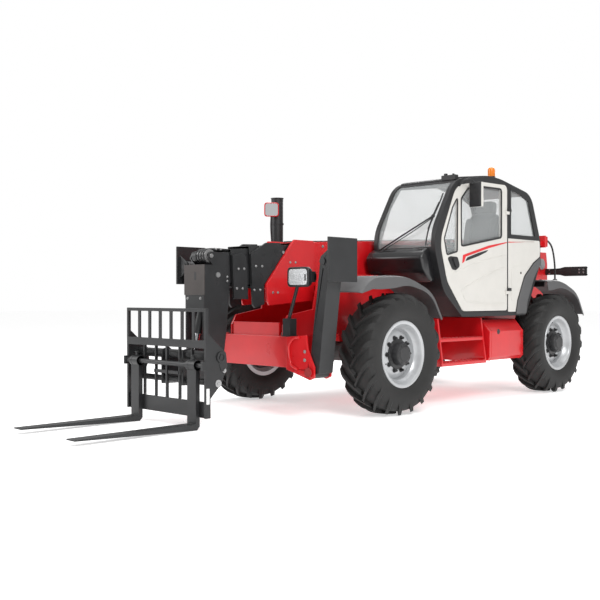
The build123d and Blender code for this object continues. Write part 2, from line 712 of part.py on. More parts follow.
roller_arm = [
    (front_y(-1380), ROLLER_Z + 30),
    (roller_y - 10, ROLLER_Z + 40),
    (roller_y - 40, ROLLER_Z - 20),
    (front_y(-1560), NOSE_TOP - 20),
    (front_y(-1380), NOSE_TOP - 20),
]
nose += both_sides(side_plate(roller_arm, half3, half3 + NOSE_PLATE))
nose += both_sides(bar_x(roller_y, ROLLER_Z, ROLLER_PIN_RADIUS, half3 - 25, half3 + 5))
nose -= bar_x(nose_pivot_y, NOSE_PIVOT_Z, NOSE_PIN_RADIUS + RUNNING, -half3 - 50, half3 + 50)
keep("boom_nose", nose)


# Cylinders: barrel with a bored front and an eye at its base, rod with an eye at its tip
def cylinder_pair(base, tip, barrel_radius, rod_radius, barrel_length, eye_half, pin_radius,
                  neck):
    """Barrel and rod between two (y, z) places, both thinned to the eye's width over the neck."""
    rod_tail = neck + 60
    length = hypot(tip[0] - base[0], tip[1] - base[1])
    angle = degrees(atan2(tip[1] - base[1], tip[0] - base[0]))
    at = Pos(0, base[0], base[1]) * Rot(angle, 0, 0)
    eye_radius = rod_radius + 12
    barrel = Pos(0, (barrel_length + neck) / 2, 0) * Rot(90, 0, 0) * Cylinder(
        barrel_radius, barrel_length - neck
    )
    barrel += bar_x(0, 0, eye_radius, -eye_half, eye_half)
    barrel += block(-eye_half, eye_half, 0, neck + 10, -rod_radius, rod_radius)
    barrel -= bar_x(0, 0, pin_radius + RUNNING, -eye_half - 1, eye_half + 1)
    bore_length = barrel_length - neck - 20
    bore = Pos(0, barrel_length - bore_length / 2 + 1, 0) * Rot(90, 0, 0) * Cylinder(
        rod_radius + RUNNING, bore_length + 2
    )
    barrel -= bore
    rod_end = length - neck
    rod = Pos(0, (rod_end + rod_tail) / 2, 0) * Rot(90, 0, 0) * Cylinder(
        rod_radius, rod_end - rod_tail
    )
    rod += block(-eye_half, eye_half, rod_end - 10, length, -eye_radius * 0.6, eye_radius * 0.6)
    rod += Pos(0, length, 0) * bar_x(0, 0, eye_radius, -eye_half, eye_half)
    return at * barrel, at * rod


tilt_barrel, tilt_rod = cylinder_pair(
    (tilt_base_y, TILT_BASE_Z), (tilt_eye_y, TILT_EYE_Z), TILT_BARREL_RADIUS, TILT_ROD_RADIUS,
    TILT_BARREL_LENGTH, TILT_EYE_HALF, TILT_PIN_RADIUS, 60.0,
)
keep("tilt_barrel", tilt_barrel)
keep("tilt_rod", tilt_rod)

lift_eye_y = boom_pivot_y - LIFT_EYE_AHEAD
lift_eye_z = BOOM_PIVOT_Z - LIFT_EYE_DROP
lift_barrel, lift_rod = cylinder_pair(
    (lift_base_y, LIFT_BASE_Z), (lift_eye_y, lift_eye_z), LIFT_BARREL_RADIUS, LIFT_ROD_RADIUS,
    LIFT_BARREL_LENGTH, LIFT_EYE_HALF, LIFT_PIN_RADIUS, 140.0,
)
keep("lift_barrel", lift_barrel)
keep("lift_rod", lift_rod)

# Coupler: hub on the nose pin, arms to the hook tube and the lock pin
HOOK_TUBE_AHEAD = 1895.0
HOOK_TUBE_Z = 644.0
HOOK_TUBE_RADIUS = 42.0
LOCK_AHEAD = 1903.0
LOCK_Z = 409.0
LOCK_RADIUS = 28.0
ARM_PLATE = 22.0
END_PLATE = 25.0

hook_y = front_y(-HOOK_TUBE_AHEAD)
lock_y = front_y(-LOCK_AHEAD)
arm_inner = half3 + NOSE_PLATE + MOVING_GAP
arm_points = [
    (nose_pivot_y + 60, NOSE_PIVOT_Z),
    (nose_pivot_y - 40, NOSE_PIVOT_Z + 70),
    (hook_y + 20, HOOK_TUBE_Z + 60),
    (hook_y - 60, HOOK_TUBE_Z + 40),
    (lock_y - 50, LOCK_Z - 45),
    (nose_pivot_y, NOSE_PIVOT_Z - 68),
]
coupler = both_sides(side_plate(arm_points, arm_inner, arm_inner + ARM_PLATE))
coupler += both_sides(
    bar_x(nose_pivot_y, NOSE_PIVOT_Z, 70, arm_inner, arm_inner + ARM_PLATE)
)
end_inner = CARRIAGE_HALF_WIDTH - END_PLATE
coupler += bar_x(hook_y, HOOK_TUBE_Z, HOOK_TUBE_RADIUS, -end_inner + FIT, end_inner - FIT)
coupler += bar_x(lock_y, LOCK_Z, LOCK_RADIUS, -end_inner + FIT, end_inner - FIT)
pin_end = arm_inner + ARM_PLATE + 12
coupler += bar_x(nose_pivot_y, NOSE_PIVOT_Z, NOSE_PIN_RADIUS, -pin_end, pin_end)
tilt_clevis = TILT_EYE_HALF + MOVING_GAP
tilt_ear = [
    (tilt_eye_y + 32, TILT_EYE_Z - 30),
    (tilt_eye_y + 32, TILT_EYE_Z + 30),
    (hook_y, HOOK_TUBE_Z + 36),
    (hook_y, HOOK_TUBE_Z - 36),
]
coupler += both_sides(side_plate(tilt_ear, tilt_clevis, tilt_clevis + 16))
keep("coupler", coupler)

# Fork carriage: end plates, beam, guard bars, fork shaft and lower rest plate
FRAME_THICKNESS = 30.0
GUARD_BARS = 6
GUARD_BAR_WIDTH = 34.0
BEAM_RAIL_LOW = 720.0
BEAM_RAIL_HIGH = 790.0
REST_TOP = 250.0

frame_front = front_y(-CARRIAGE_FRONT)
frame_back = frame_front + FRAME_THICKNESS
end_points = [
    (frame_front, CARRIAGE_BOTTOM),
    (front_y(-1985), CARRIAGE_BOTTOM),
    (front_y(-1988), CARRIAGE_BOTTOM + 170),
    (front_y(-1866), 400),
    (front_y(-1795), 560),
    (front_y(-1813), 680),
    (frame_back, 850),
    (frame_back, CARRIAGE_TOP),
    (frame_front, CARRIAGE_TOP),
]
carriage = both_sides(side_plate(end_points, end_inner, CARRIAGE_HALF_WIDTH))
carriage += block(-end_inner, end_inner, frame_front, frame_back, BEAM_RAIL_LOW, BEAM_RAIL_HIGH)
carriage += block(-end_inner, end_inner, frame_front, frame_back,
                  CARRIAGE_TOP - 30, CARRIAGE_TOP)
bar_pitch = 2 * end_inner / (GUARD_BARS + 1)
for index in range(1, GUARD_BARS + 1):
    bar_x0 = -end_inner + index * bar_pitch - GUARD_BAR_WIDTH / 2
    carriage += block(bar_x0, bar_x0 + GUARD_BAR_WIDTH, frame_front + 8, frame_back - 8,
                      BEAM_RAIL_HIGH - 5, CARRIAGE_TOP - 25)
shank_back = frame_front + 20
shank_front = shank_back - FORK_THICKNESS
shaft_y = (shank_front + shank_back) / 2
rest_front = shank_back + PAD_GAP
carriage += block(-end_inner, end_inner, rest_front, rest_front + 25, CARRIAGE_BOTTOM, REST_TOP)
carriage += block(-12, 12, rest_front, rest_front + 25, REST_TOP - 5, BEAM_RAIL_LOW + 5)
carriage += bar_x(shaft_y, FORK_SHAFT_Z, FORK_SHAFT_RADIUS, -end_inner, end_inner)
carriage += block(-12, 12, shaft_y, rest_front + 5, FORK_SHAFT_Z - 15, FORK_SHAFT_Z + 15)
carriage += both_sides(
    block(end_inner, CARRIAGE_HALF_WIDTH, shaft_y - 35, frame_front, FORK_SHAFT_Z - 40,
          FORK_SHAFT_Z + 40)
)
keep("fork_carriage", carriage)

# Forks: shank hung on the shaft by an eye, tapered blade
FORK_EYE_RADIUS = 46.0
FORK_TIP_THICKNESS = 12.0
tip_rise = FORK_LENGTH * sin(radians(FORK_TILT))
tip_y = shank_front - FORK_LENGTH * cos(radians(FORK_TILT))
fork_points = [
    (shank_back, FORK_SHAFT_Z),
    (shank_back, 30),
    (shank_back - 30, 0),
    (tip_y, tip_rise),
    (tip_y, tip_rise + FORK_TIP_THICKNESS),
    (shank_front, tip_rise + FORK_TIP_THICKNESS),
    (shank_front, FORK_SHAFT_Z),
]
fork_x0 = FORK_SPACING_HALF - FORK_WIDTH / 2
fork_x1 = FORK_SPACING_HALF + FORK_WIDTH / 2
fork = side_plate(fork_points, fork_x0, fork_x1)
fork += bar_x(shaft_y, FORK_SHAFT_Z, FORK_EYE_RADIUS, fork_x0, fork_x1)
fork -= bar_x(shaft_y, FORK_SHAFT_Z, FORK_SHAFT_RADIUS + RUNNING, fork_x0 - 1, fork_x1 + 1)
keep("fork_left", fork)
keep("fork_right", mirrored(fork))

# Fenders: a curved sheet over each wheel with an arm to the chassis plate
FENDER_LINE = [(-680, 1225), (-500, 1374), (50, 1388), (460, 1238), (635, 960)]
FENDER_BEND = 220.0
FENDER_ARM_TOP = 1376.0
FENDER_ARM_LOW = 1290.0


def shifted(points, distance):
    """An open line of points moved sideways by a distance, corners mitred."""
    ways = [(Vector(*b) - Vector(*a)).normalized() for a, b in zip(points, points[1:])]
    moved = []
    for point, before, after in zip(points, ways[:1] + ways, ways + ways[-1:]):
        middle = (before + after).normalized()
        normal = Vector(-middle.Y, middle.X)
        stretch = distance / normal.dot(Vector(-after.Y, after.X))
        place = Vector(*point) + normal * stretch
        moved.append((place.X, place.Y))
    return moved


def fender_shape(axle_y):
    """A bent sheet of even thickness over one left wheel, on an arm from the chassis."""
    upper = [(axle_y + y, z) for y, z in FENDER_LINE]
    lower = shifted(upper, -FENDER_THICKNESS)
    top = FilletPolyline(*upper, radius=FENDER_BEND)
    bottom = FilletPolyline(*lower, radius=FENDER_BEND - FENDER_THICKNESS)
    profile = make_face(Curve() + [top, bottom, Line(upper[0], lower[0]),
                                   Line(upper[-1], lower[-1])])
    sheet = extrude(Plane.YZ.offset(FENDER_INNER_X) * profile,
                    amount=FENDER_OUTER_X - FENDER_INNER_X)
    arm = block(CHASSIS_HALF_WIDTH + FIT, FENDER_INNER_X + 300, axle_y - 60, axle_y + 60,
                FENDER_ARM_LOW, FENDER_ARM_TOP)
    return sheet + arm


# Side tank and steps hang on the left chassis plate between the wheels
TANK_FRONT = 1680.0
TANK_REAR = 2400.0
TANK_LOW = 450.0
TANK_TOP = 910.0
TANK_OUTER_X = 1080.0
STEP_FRONT = 790.0
STEP_REAR = 1640.0
STEP_HEIGHTS = (440.0, 700.0)
STEP_OUTER_X = 1060.0
STEP_INNER_X = 800.0
STEP_PLATE = 25.0
STEP_SETBACK = 30.0

mount_x = CHASSIS_HALF_WIDTH + FIT
tank_points = [
    (mount_x, TANK_LOW),
    (TANK_OUTER_X - 30, TANK_LOW),
    (TANK_OUTER_X, TANK_LOW + 40),
    (TANK_OUTER_X, TANK_TOP - 130),
    (TANK_OUTER_X - 110, TANK_TOP),
    (mount_x, TANK_TOP),
]
tank = cross_plate(tank_points, front_y(TANK_FRONT), front_y(TANK_REAR))
keep("side_tank", tank)

step_points = [
    (mount_x, STEP_HEIGHTS[0]),
    (STEP_OUTER_X, STEP_HEIGHTS[0] - 10),
    (STEP_OUTER_X, STEP_HEIGHTS[0] + 50),
    (STEP_OUTER_X - STEP_SETBACK, STEP_HEIGHTS[1] + 10),
    (STEP_OUTER_X - 2 * STEP_SETBACK, CAB_BOTTOM - 20),
    (mount_x, CAB_BOTTOM - 20),
]
step_front = front_y(STEP_FRONT)
step_rear = front_y(STEP_REAR)
steps = cross_plate(step_points, step_front, step_front + STEP_PLATE)
steps += cross_plate(step_points, step_rear - STEP_PLATE, step_rear)
for tread_z, outer_x in zip(STEP_HEIGHTS, (STEP_OUTER_X, STEP_OUTER_X - STEP_SETBACK)):
    steps += block(STEP_INNER_X, outer_x, step_front, step_rear, tread_z - 10, tread_z + 20)
steps += block(mount_x, mount_x + STEP_PLATE, step_front, step_rear, STEP_HEIGHTS[0] + 60,
               CAB_BOTTOM - 20)
keep("steps", steps)

# Engine on the right: block, fixed cowl with the exhaust stack, hinged hood
ENGINE_OUTER_X = -1050.0
ENGINE_SPAN = (980.0, 2100.0)
ENGINE_HEIGHTS = (760.0, 1300.0)
COWL_WALL = 20.0
COWL_CORNER = 18.0
COWL_LOW = 620.0
COWL_SEAM = 1560.0
COWL_TOP = 1770.0
LID_FRONT = 440.0
LID_REAR = 2700.0
STACK_X = -950.0
STACK_AHEAD = 300.0
STACK_RADIUS = 70.0
STACK_TOP = 2330.0
HOOD_PIN_X = -445.0
HOOD_PIN_Z = 1594.0
HOOD_PIN_RADIUS = 9.0

cowl_inner_x = -CHASSIS_HALF_WIDTH - FIT
engine = block(ENGINE_OUTER_X, cowl_inner_x, front_y(ENGINE_SPAN[0]), front_y(ENGINE_SPAN[1]),
               *ENGINE_HEIGHTS)
keep("engine_block", engine)

cowl_points = [
    (50, 1430), (610, 1430), (760, 1230), (760, COWL_LOW), (2300, COWL_LOW), (2300, 1230),
    (2440, 1430), (LID_REAR + 50, 1430), (LID_REAR + 50, COWL_SEAM),
    (LID_FRONT - DOOR_GAP, COWL_SEAM),
    (LID_FRONT - DOOR_GAP, COWL_TOP), (180, COWL_TOP), (50, COWL_TOP - 90),
]
cowl_points = [(front_y(y), z) for y, z in cowl_points]
cowl_face = outline(cowl_points, COWL_CORNER)
cowl = extrude(Plane.YZ.offset(HOOD_OUTER_X) * cowl_face, amount=cowl_inner_x - HOOD_OUTER_X)
cowl_hollow = extrude(
    Plane.YZ.offset(HOOD_OUTER_X + COWL_WALL) * offset(cowl_face, amount=-COWL_WALL),
    amount=cowl_inner_x - HOOD_OUTER_X,
)
cowl -= cowl_hollow
opening = block(HOOD_OUTER_X + 60, cowl_inner_x - 10, front_y(LID_FRONT + 60),
                front_y(LID_REAR - 60), COWL_SEAM - COWL_WALL - 10, COWL_SEAM + 10)
cowl -= opening
hood_pin = (HOOD_PIN_X, HOOD_PIN_Z)
cowl += block(HOOD_PIN_X - 20, HOOD_PIN_X + 20, front_y(LID_REAR + 26), front_y(LID_REAR + 46),
              COWL_SEAM - 5, HOOD_PIN_Z + 18)
cowl += bar_y(*hood_pin, HOOD_PIN_RADIUS, front_y(LID_REAR + 5), front_y(LID_REAR + 30))
cowl += bar_y(*hood_pin, HOOD_PIN_RADIUS, front_y(LID_FRONT - 20), front_y(LID_FRONT + 15))
cowl += bar_z(STACK_X, front_y(STACK_AHEAD), STACK_RADIUS, COWL_TOP - 10, STACK_TOP)
keep("engine_cowl", cowl)

LID_CORNER = 14.0
LID_INNER_X = -430.0
lid_points = [
    (LID_FRONT, COWL_SEAM + DOOR_GAP), (LID_REAR + 20, COWL_SEAM + DOOR_GAP),
    (LID_REAR + 20, COWL_SEAM + 50), (LID_REAR - 110, COWL_TOP), (LID_FRONT, COWL_TOP),
]
lid_points = [(front_y(y), z) for y, z in lid_points]
lid_face = outline(lid_points, LID_CORNER)
lid = extrude(Plane.YZ.offset(HOOD_OUTER_X) * lid_face, amount=LID_INNER_X - HOOD_OUTER_X)
lid_hollow = extrude(
    Plane.YZ.offset(HOOD_OUTER_X + COWL_WALL) * offset(lid_face, amount=-COWL_WALL),
    amount=LID_INNER_X - HOOD_OUTER_X - 2 * COWL_WALL,
)
lid -= lid_hollow
lid -= block(HOOD_OUTER_X + COWL_WALL, LID_INNER_X - COWL_WALL, front_y(LID_FRONT) + COWL_WALL,
             front_y(LID_REAR), COWL_SEAM, COWL_SEAM + 40)
lid -= bar_y(*hood_pin, HOOD_PIN_RADIUS + RUNNING, front_y(LID_FRONT - 5),
             front_y(LID_REAR + 25))
keep("engine_hood", lid)

# Cab: hollow shell, its side profile in (behind the front axle, height)
SILL_STEP_Z = 1330.0
CAB_LOW_INNER_X = CHASSIS_HALF_WIDTH + FIT
PILLAR = 55.0
ROOF_FRONT_Z = CAB_ROOF_TOP - 95.0
ROOF_REAR_Z = CAB_ROOF_TOP - 145.0
CAB_PROFILE = [
    (1140, CAB_BOTTOM), (790, 1230), (600, 1800), (1000, ROOF_FRONT_Z), (1800, CAB_ROOF_TOP),
    (2580, ROOF_REAR_Z), (2800, 1850), (2800, 1580), (2460, CAB_BOTTOM),
]
CAB_CORNERS = [50, 350, 450, 350, 1200, 250, 200, 150, 50]
CAB_REACH = (500.0, 2900.0)
SILL_SPAN = (800.0, 2720.0)
INNER_WALL_SPAN = (860.0, 2560.0)
INNER_WALL_FOOT = 1100.0

cab_points = [(front_y(y), z) for y, z in CAB_PROFILE]
cab_face = make_face(FilletPolyline(*cab_points, radius=CAB_CORNERS, close=True))
cab_inner_face = offset(cab_face, amount=-CAB_WALL)


def cab_slab(face, x0=CAB_INNER_X, x1=CAB_OUTER_X):
    """A side-view face carried across from x0 to x1."""
    return extrude(Plane.YZ.offset(x0) * face, amount=x1 - x0)


def across_cab(span, heights, edge, gap=0.0):
    """A block between two places behind the front axle, an edge short of the side walls."""
    return block(
        CAB_INNER_X + edge + gap, CAB_OUTER_X - edge - gap,
        front_y(span[0]) + gap, front_y(span[1]) - gap, heights[0] + gap, heights[1] - gap,
    )


cab = cab_slab(cab_face)
cab -= cab_slab(cab_inner_face, CAB_INNER_X + CAB_WALL, CAB_OUTER_X - CAB_WALL)
cab -= block(CAB_INNER_X - THROUGH, CAB_LOW_INNER_X, front_y(CAB_REACH[0]),
             front_y(CAB_REACH[1]), CAB_BOTTOM - THROUGH, SILL_STEP_Z)
cab += block(CAB_LOW_INNER_X, CAB_LOW_INNER_X + CAB_WALL, front_y(INNER_WALL_SPAN[0]),
             front_y(INNER_WALL_SPAN[1]), INNER_WALL_FOOT, SILL_STEP_Z + CAB_WALL)
cab += block(CAB_INNER_X, CAB_LOW_INNER_X + CAB_WALL, front_y(SILL_SPAN[0]),
             front_y(SILL_SPAN[1]), SILL_STEP_Z, SILL_STEP_Z + CAB_WALL)
cab &= cab_slab(cab_face)

# The rear fenders stop short of the cab's lower rear corner
fender_front = fender_shape(FRONT_AXLE_Y)
fender_rear = fender_shape(REAR_AXLE_Y)
fender_rear -= cab_slab(offset(cab_face, amount=MOVING_GAP), x1=FENDER_OUTER_X + THROUGH)
fenders = fender_front + fender_rear
keep("fenders", fenders + mirrored(fenders))

# Door opening in the outer wall
DOOR_FOOT = 1010.0
DOOR_REAR = 2050.0
DOOR_PROFILE = [
    (1150, DOOR_FOOT), (860, 1330), (725, 1760), (1030, CAB_ROOF_TOP - 160),
    (1500, CAB_ROOF_TOP - 83), (DOOR_REAR, CAB_ROOF_TOP - 75), (DOOR_REAR, DOOR_FOOT),
]
DOOR_CORNERS = [90, 300, 350, 260, 700, 70, 40]
door_points = [(front_y(y), z) for y, z in DOOR_PROFILE]
door_face = make_face(FilletPolyline(*door_points, radius=DOOR_CORNERS, close=True))
cab -= cab_slab(door_face, CAB_OUTER_X - CAB_WALL - THROUGH, CAB_OUTER_X + THROUGH)

# Openings for the windscreen, the rear, side and roof windows
SCREEN_SPAN = (550.0, 1040.0)
SCREEN_HEIGHTS = (1700.0, CAB_ROOF_TOP - 70.0)
REAR_PANE_SPAN = (2480.0, 2850.0)
REAR_PANE_HEIGHTS = (1880.0, ROOF_REAR_Z)
ROOF_PANE_SPAN = (1150.0, 1900.0)
ROOF_PANE_EDGE = 120.0
ROOF_CUT_HEIGHTS = (CAB_ROOF_TOP - 165.0, CAB_ROOF_TOP + 155.0)
WINDOW_CORNER = 25.0
SIDE_REAR_WINDOW = [
    (2110, 1885), (2110, CAB_ROOF_TOP - 115), (2330, CAB_ROOF_TOP - 150),
    (2525, CAB_ROOF_TOP - 225), (2690, 1885),
]
INNER_WINDOW = [
    (720, 1760), (900, 2160), (1080, CAB_ROOF_TOP - 155), (1800, CAB_ROOF_TOP - 65),
    (2330, CAB_ROOF_TOP - 150), (2525, CAB_ROOF_TOP - 225), (2690, 1885), (2690, 1800),
]


def side_window(points):
    """A window's rounded outline, seen from the side."""
    return outline([(front_y(y), z) for y, z in points], WINDOW_CORNER)


front_wall = cab_slab(cab_face) - cab_slab(cab_inner_face)
cab -= front_wall & across_cab(SCREEN_SPAN, SCREEN_HEIGHTS, PILLAR)
cab -= front_wall & across_cab(REAR_PANE_SPAN, REAR_PANE_HEIGHTS, PILLAR)
cab -= cab_slab(side_window(SIDE_REAR_WINDOW), CAB_OUTER_X - CAB_WALL, CAB_OUTER_X)
cab -= cab_slab(side_window(INNER_WINDOW), CAB_INNER_X, CAB_INNER_X + CAB_WALL)
cab -= across_cab(ROOF_PANE_SPAN, ROOF_CUT_HEIGHTS, ROOF_PANE_EDGE)

# Door hinges: a pin on the pillar through a knuckle on the door, at two heights
HINGE_HEIGHTS = (1240.0, 2160.0)
HINGE_X = CAB_OUTER_X + 12.0
HINGE_RADIUS = 12.0
HINGE_PIN_RADIUS = 6.0
HINGE_TALL = 35.0
HINGE_ROOT = 10.0
PILLAR_LEAF = 50.0
DOOR_LEAF = 60.0
hinge_y = front_y(DOOR_REAR) + MOVING_GAP
hinge_knuckles = []
for hinge_z in HINGE_HEIGHTS:
    cab += bar_z(HINGE_X, hinge_y, HINGE_RADIUS, hinge_z, hinge_z + HINGE_TALL)
    cab += block(CAB_OUTER_X - HINGE_ROOT, HINGE_X + HINGE_RADIUS, hinge_y,
                 hinge_y + PILLAR_LEAF, hinge_z, hinge_z + HINGE_TALL)
    cab += bar_z(HINGE_X, hinge_y, HINGE_PIN_RADIUS, hinge_z - HINGE_TALL, hinge_z + 1)
    knuckle_top = hinge_z - RUNNING
    hinge_part = bar_z(HINGE_X, hinge_y, HINGE_RADIUS, hinge_z - HINGE_TALL, knuckle_top)
    hinge_part += block(CAB_OUTER_X - HINGE_ROOT, HINGE_X + HINGE_RADIUS, hinge_y - DOOR_LEAF,
                        hinge_y, hinge_z - HINGE_TALL, knuckle_top)
    hinge_part -= block(CAB_OUTER_X - 2 * HINGE_ROOT, CAB_OUTER_X,
                        hinge_y - MOVING_GAP - DOOR_GAP, hinge_y + 1, hinge_z - HINGE_TALL - 1,
                        hinge_z)
    hinge_part -= bar_z(HINGE_X, hinge_y, HINGE_PIN_RADIUS + RUNNING, hinge_z - HINGE_TALL - 1,
                        hinge_z + 1)
    hinge_knuckles.append(hinge_part)
keep("cab_shell", cab)

# Panes sit in the middle of the walls, a hair smaller than their openings
MID_WALL = (CAB_WALL - GLASS_THICKNESS) / 2
outer_pane_x = CAB_OUTER_X - CAB_WALL + MID_WALL
inner_pane_x = CAB_INNER_X + MID_WALL


def pane(opening_points, x0):
    """A side pane a hair inside its opening."""
    face = offset(side_window(opening_points), amount=-FIT)
    return cab_slab(face, x0, x0 + GLASS_THICKNESS)


pane_layer = cab_slab(offset(cab_face, amount=-MID_WALL))
pane_layer -= cab_slab(offset(cab_face, amount=-MID_WALL - GLASS_THICKNESS))
glass = pane(SIDE_REAR_WINDOW, outer_pane_x) + pane(INNER_WINDOW, inner_pane_x)
glass += pane_layer & across_cab(SCREEN_SPAN, SCREEN_HEIGHTS, PILLAR, FIT)
glass += pane_layer & across_cab(REAR_PANE_SPAN, REAR_PANE_HEIGHTS, PILLAR, FIT)
glass += pane_layer & across_cab(ROOF_PANE_SPAN, ROOF_CUT_HEIGHTS, ROOF_PANE_EDGE, FIT)
keep("cab_glass", glass)

# Door with its own windows, the wall's full thickness, and a mirror on a short arm
DOOR_WINDOW = [
    (1115, 1715), (1110, 2240), (1240, CAB_ROOF_TOP - 180), (1500, CAB_ROOF_TOP - 137),
    (1930, CAB_ROOF_TOP - 130), (1930, 1850),
]
QUARTER_WINDOW = [(850, 1615), (800, 1790), (950, 2130), (1055, 2270), (1050, 1660)]
MIRROR_X0 = 1110.0
MIRROR_X1 = 1262.0
MIRROR_BEHIND = 1250.0
MIRROR_HALF = 20.0
MIRROR_HIGH = CAB_ROOF_TOP - 130.0
MIRROR_TALL = 265.0
MIRROR_ARM_HALF = 12.0
MIRROR_ARM_DROP = (30.0, 10.0)
mirror_y = front_y(MIRROR_BEHIND)
door = cab_slab(offset(door_face, amount=-DOOR_GAP), CAB_OUTER_X - CAB_WALL)
for opening in (DOOR_WINDOW, QUARTER_WINDOW):
    door -= cab_slab(side_window(opening), CAB_OUTER_X - CAB_WALL - 1, CAB_OUTER_X + 1)
for hinge_part in hinge_knuckles:
    door += hinge_part
door += block(MIRROR_X0, MIRROR_X1, mirror_y - MIRROR_HALF, mirror_y + MIRROR_HALF,
              MIRROR_HIGH - MIRROR_TALL, MIRROR_HIGH)
door += block(CAB_OUTER_X - MIRROR_ARM_HALF, MIRROR_X0 + 10, mirror_y - MIRROR_ARM_HALF,
              mirror_y + MIRROR_ARM_HALF, MIRROR_HIGH - MIRROR_ARM_DROP[0],
              MIRROR_HIGH - MIRROR_ARM_DROP[1])
keep("cab_door", door)
keep("door_glass", pane(DOOR_WINDOW, outer_pane_x) + pane(QUARTER_WINDOW, outer_pane_x))

# Roof cover around the roof window
ROOF_RISE = 16.0
ROOF_EDGE = 50.0
ROOF_SPAN = (1060.0, 2500.0)
ROOF_PANE_RIM = 10.0
roof_face = offset(cab_face, amount=ROOF_RISE)
roof = cab_slab(roof_face, CAB_INNER_X + ROOF_EDGE, CAB_OUTER_X - ROOF_EDGE)
roof &= across_cab(ROOF_SPAN, ROOF_CUT_HEIGHTS, 0)
roof -= cab_slab(cab_face)
roof -= across_cab(ROOF_PANE_SPAN, ROOF_CUT_HEIGHTS, ROOF_PANE_EDGE, -ROOF_PANE_RIM)
keep("cab_roof", roof)

# Seat on its pedestal
SEAT_X = 710.0
SEAT_HALF_WIDTH = 210.0
BACKREST_HALF_WIDTH = 200.0
PEDESTAL_HALF_WIDTH = 120.0
SEAT_SPAN = (1650.0, 2120.0)
PEDESTAL_SPAN = (1750.0, 2050.0)
SEAT_LOW = 1560.0
SEAT_TOP = 1680.0
SEAT_LAP = 20.0
BACKREST = [(2020, SEAT_TOP - SEAT_LAP), (2130, SEAT_TOP - SEAT_LAP), (2260, 2260), (2170, 2270)]
floor_z = CAB_BOTTOM + CAB_WALL + FIT
seat = block(SEAT_X - SEAT_HALF_WIDTH, SEAT_X + SEAT_HALF_WIDTH, front_y(SEAT_SPAN[0]),
             front_y(SEAT_SPAN[1]), SEAT_LOW, SEAT_TOP)
seat += side_plate([(front_y(y), z) for y, z in BACKREST], SEAT_X - BACKREST_HALF_WIDTH,
                   SEAT_X + BACKREST_HALF_WIDTH)
seat += block(SEAT_X - PEDESTAL_HALF_WIDTH, SEAT_X + PEDESTAL_HALF_WIDTH,
              front_y(PEDESTAL_SPAN[0]), front_y(PEDESTAL_SPAN[1]), floor_z,
              SEAT_LOW + SEAT_LAP)
keep("seat", seat)

# Steering wheel, its column and the column's foot
STEERING_X = 700.0
COLUMN_RADIUS = 35.0
COLUMN_FOOT_HALF = 140.0
COLUMN_BEHIND = 1240.0
COLUMN_LEAN = 50.0
COLUMN_FOOT_AHEAD = 40.0
COLUMN_FOOT_REAR = 80.0
COLUMN_FOOT_TOP = 1150.0
HAND_WHEEL_RADIUS = 190.0
HAND_WHEEL_INNER = 160.0
HAND_WHEEL_FLATS = 24
SPOKE = (176.0, 26.0, 14.0)
SPOKE_TURNS = (0, 120, 240)
COLUMN_SLOPE = (0, 110, 640)
column_y = front_y(COLUMN_BEHIND)
column_foot = (STEERING_X, column_y, floor_z - FIT + 60)
wheel_centre = (STEERING_X, column_y + COLUMN_LEAN, 1740.0)
steering = bar_between(column_foot, wheel_centre, COLUMN_RADIUS)
steering += block(STEERING_X - COLUMN_FOOT_HALF, STEERING_X + COLUMN_FOOT_HALF,
                  column_y - COLUMN_FOOT_AHEAD, column_y + COLUMN_FOOT_REAR, floor_z,
                  COLUMN_FOOT_TOP)
wheel_plane = Plane(origin=wheel_centre, z_dir=Vector(*COLUMN_SLOPE).normalized())
ring_face = RegularPolygon(HAND_WHEEL_RADIUS, HAND_WHEEL_FLATS)
ring_face -= RegularPolygon(HAND_WHEEL_INNER, HAND_WHEEL_FLATS)
steering += wheel_plane * extrude(ring_face, amount=SPOKE[2], both=True)
for turn in SPOKE_TURNS:
    steering += wheel_plane * Rot(0, 0, turn) * Pos(SPOKE[0] / 2, 0, 0) * Box(*SPOKE)
keep("steering_wheel", steering)

# Dash cowl ahead of the windscreen
DASH_OUTER_X = 1000.0
DASH_PROFILE = [
    (513, 1590), (560, 1650), (640, 1690), (700, 1690), (700, 1640), (760, 1330), (690, 1330),
    (624, 1426),
]
dash = side_plate([(front_y(y), z) for y, z in DASH_PROFILE], CAB_INNER_X, DASH_OUTER_X)
dash -= cab_slab(offset(cab_face, amount=FIT), CAB_INNER_X - 1, CAB_OUTER_X + 1)
keep("dash_cowl", dash)

# Lamps: headlamps on stalks over the front frame, tail-lamp bars
LAMP_X = 707.0
LAMP_AHEAD = 1000.0
LAMP_Z = 1360.0
LAMP_HALF_WIDTH = 150.0
LAMP_HALF_HEIGHT = 95.0
LAMP_FRONT = 20.0
LAMP_BACK = 90.0
STALK_RADIUS = 18.0
STALK_AT = 40.0
STALK_FOOT_X = (480.0, 580.0)
STALK_FOOT_TOP = 970.0
TAIL_LAMP_OUTER_X = 1000.0
TAIL_LAMP_HEIGHTS = (1455.0, 1580.0)
TAIL_LAMP_AHEAD = (60.0, 20.0)
lamp_y = front_y(-LAMP_AHEAD)
lamp = block(LAMP_X - LAMP_HALF_WIDTH, LAMP_X + LAMP_HALF_WIDTH, lamp_y - LAMP_FRONT,
             lamp_y + LAMP_BACK, LAMP_Z - LAMP_HALF_HEIGHT, LAMP_Z + LAMP_HALF_HEIGHT)
lamp += bar_between((530.0, lamp_y + STALK_AT, STALK_FOOT_TOP - 10),
                    (640.0, lamp_y + STALK_AT, LAMP_Z - 80), STALK_RADIUS)
lamp += block(*STALK_FOOT_X, lamp_y + 5, lamp_y + 95, BEAM_HIGH + FIT, STALK_FOOT_TOP)
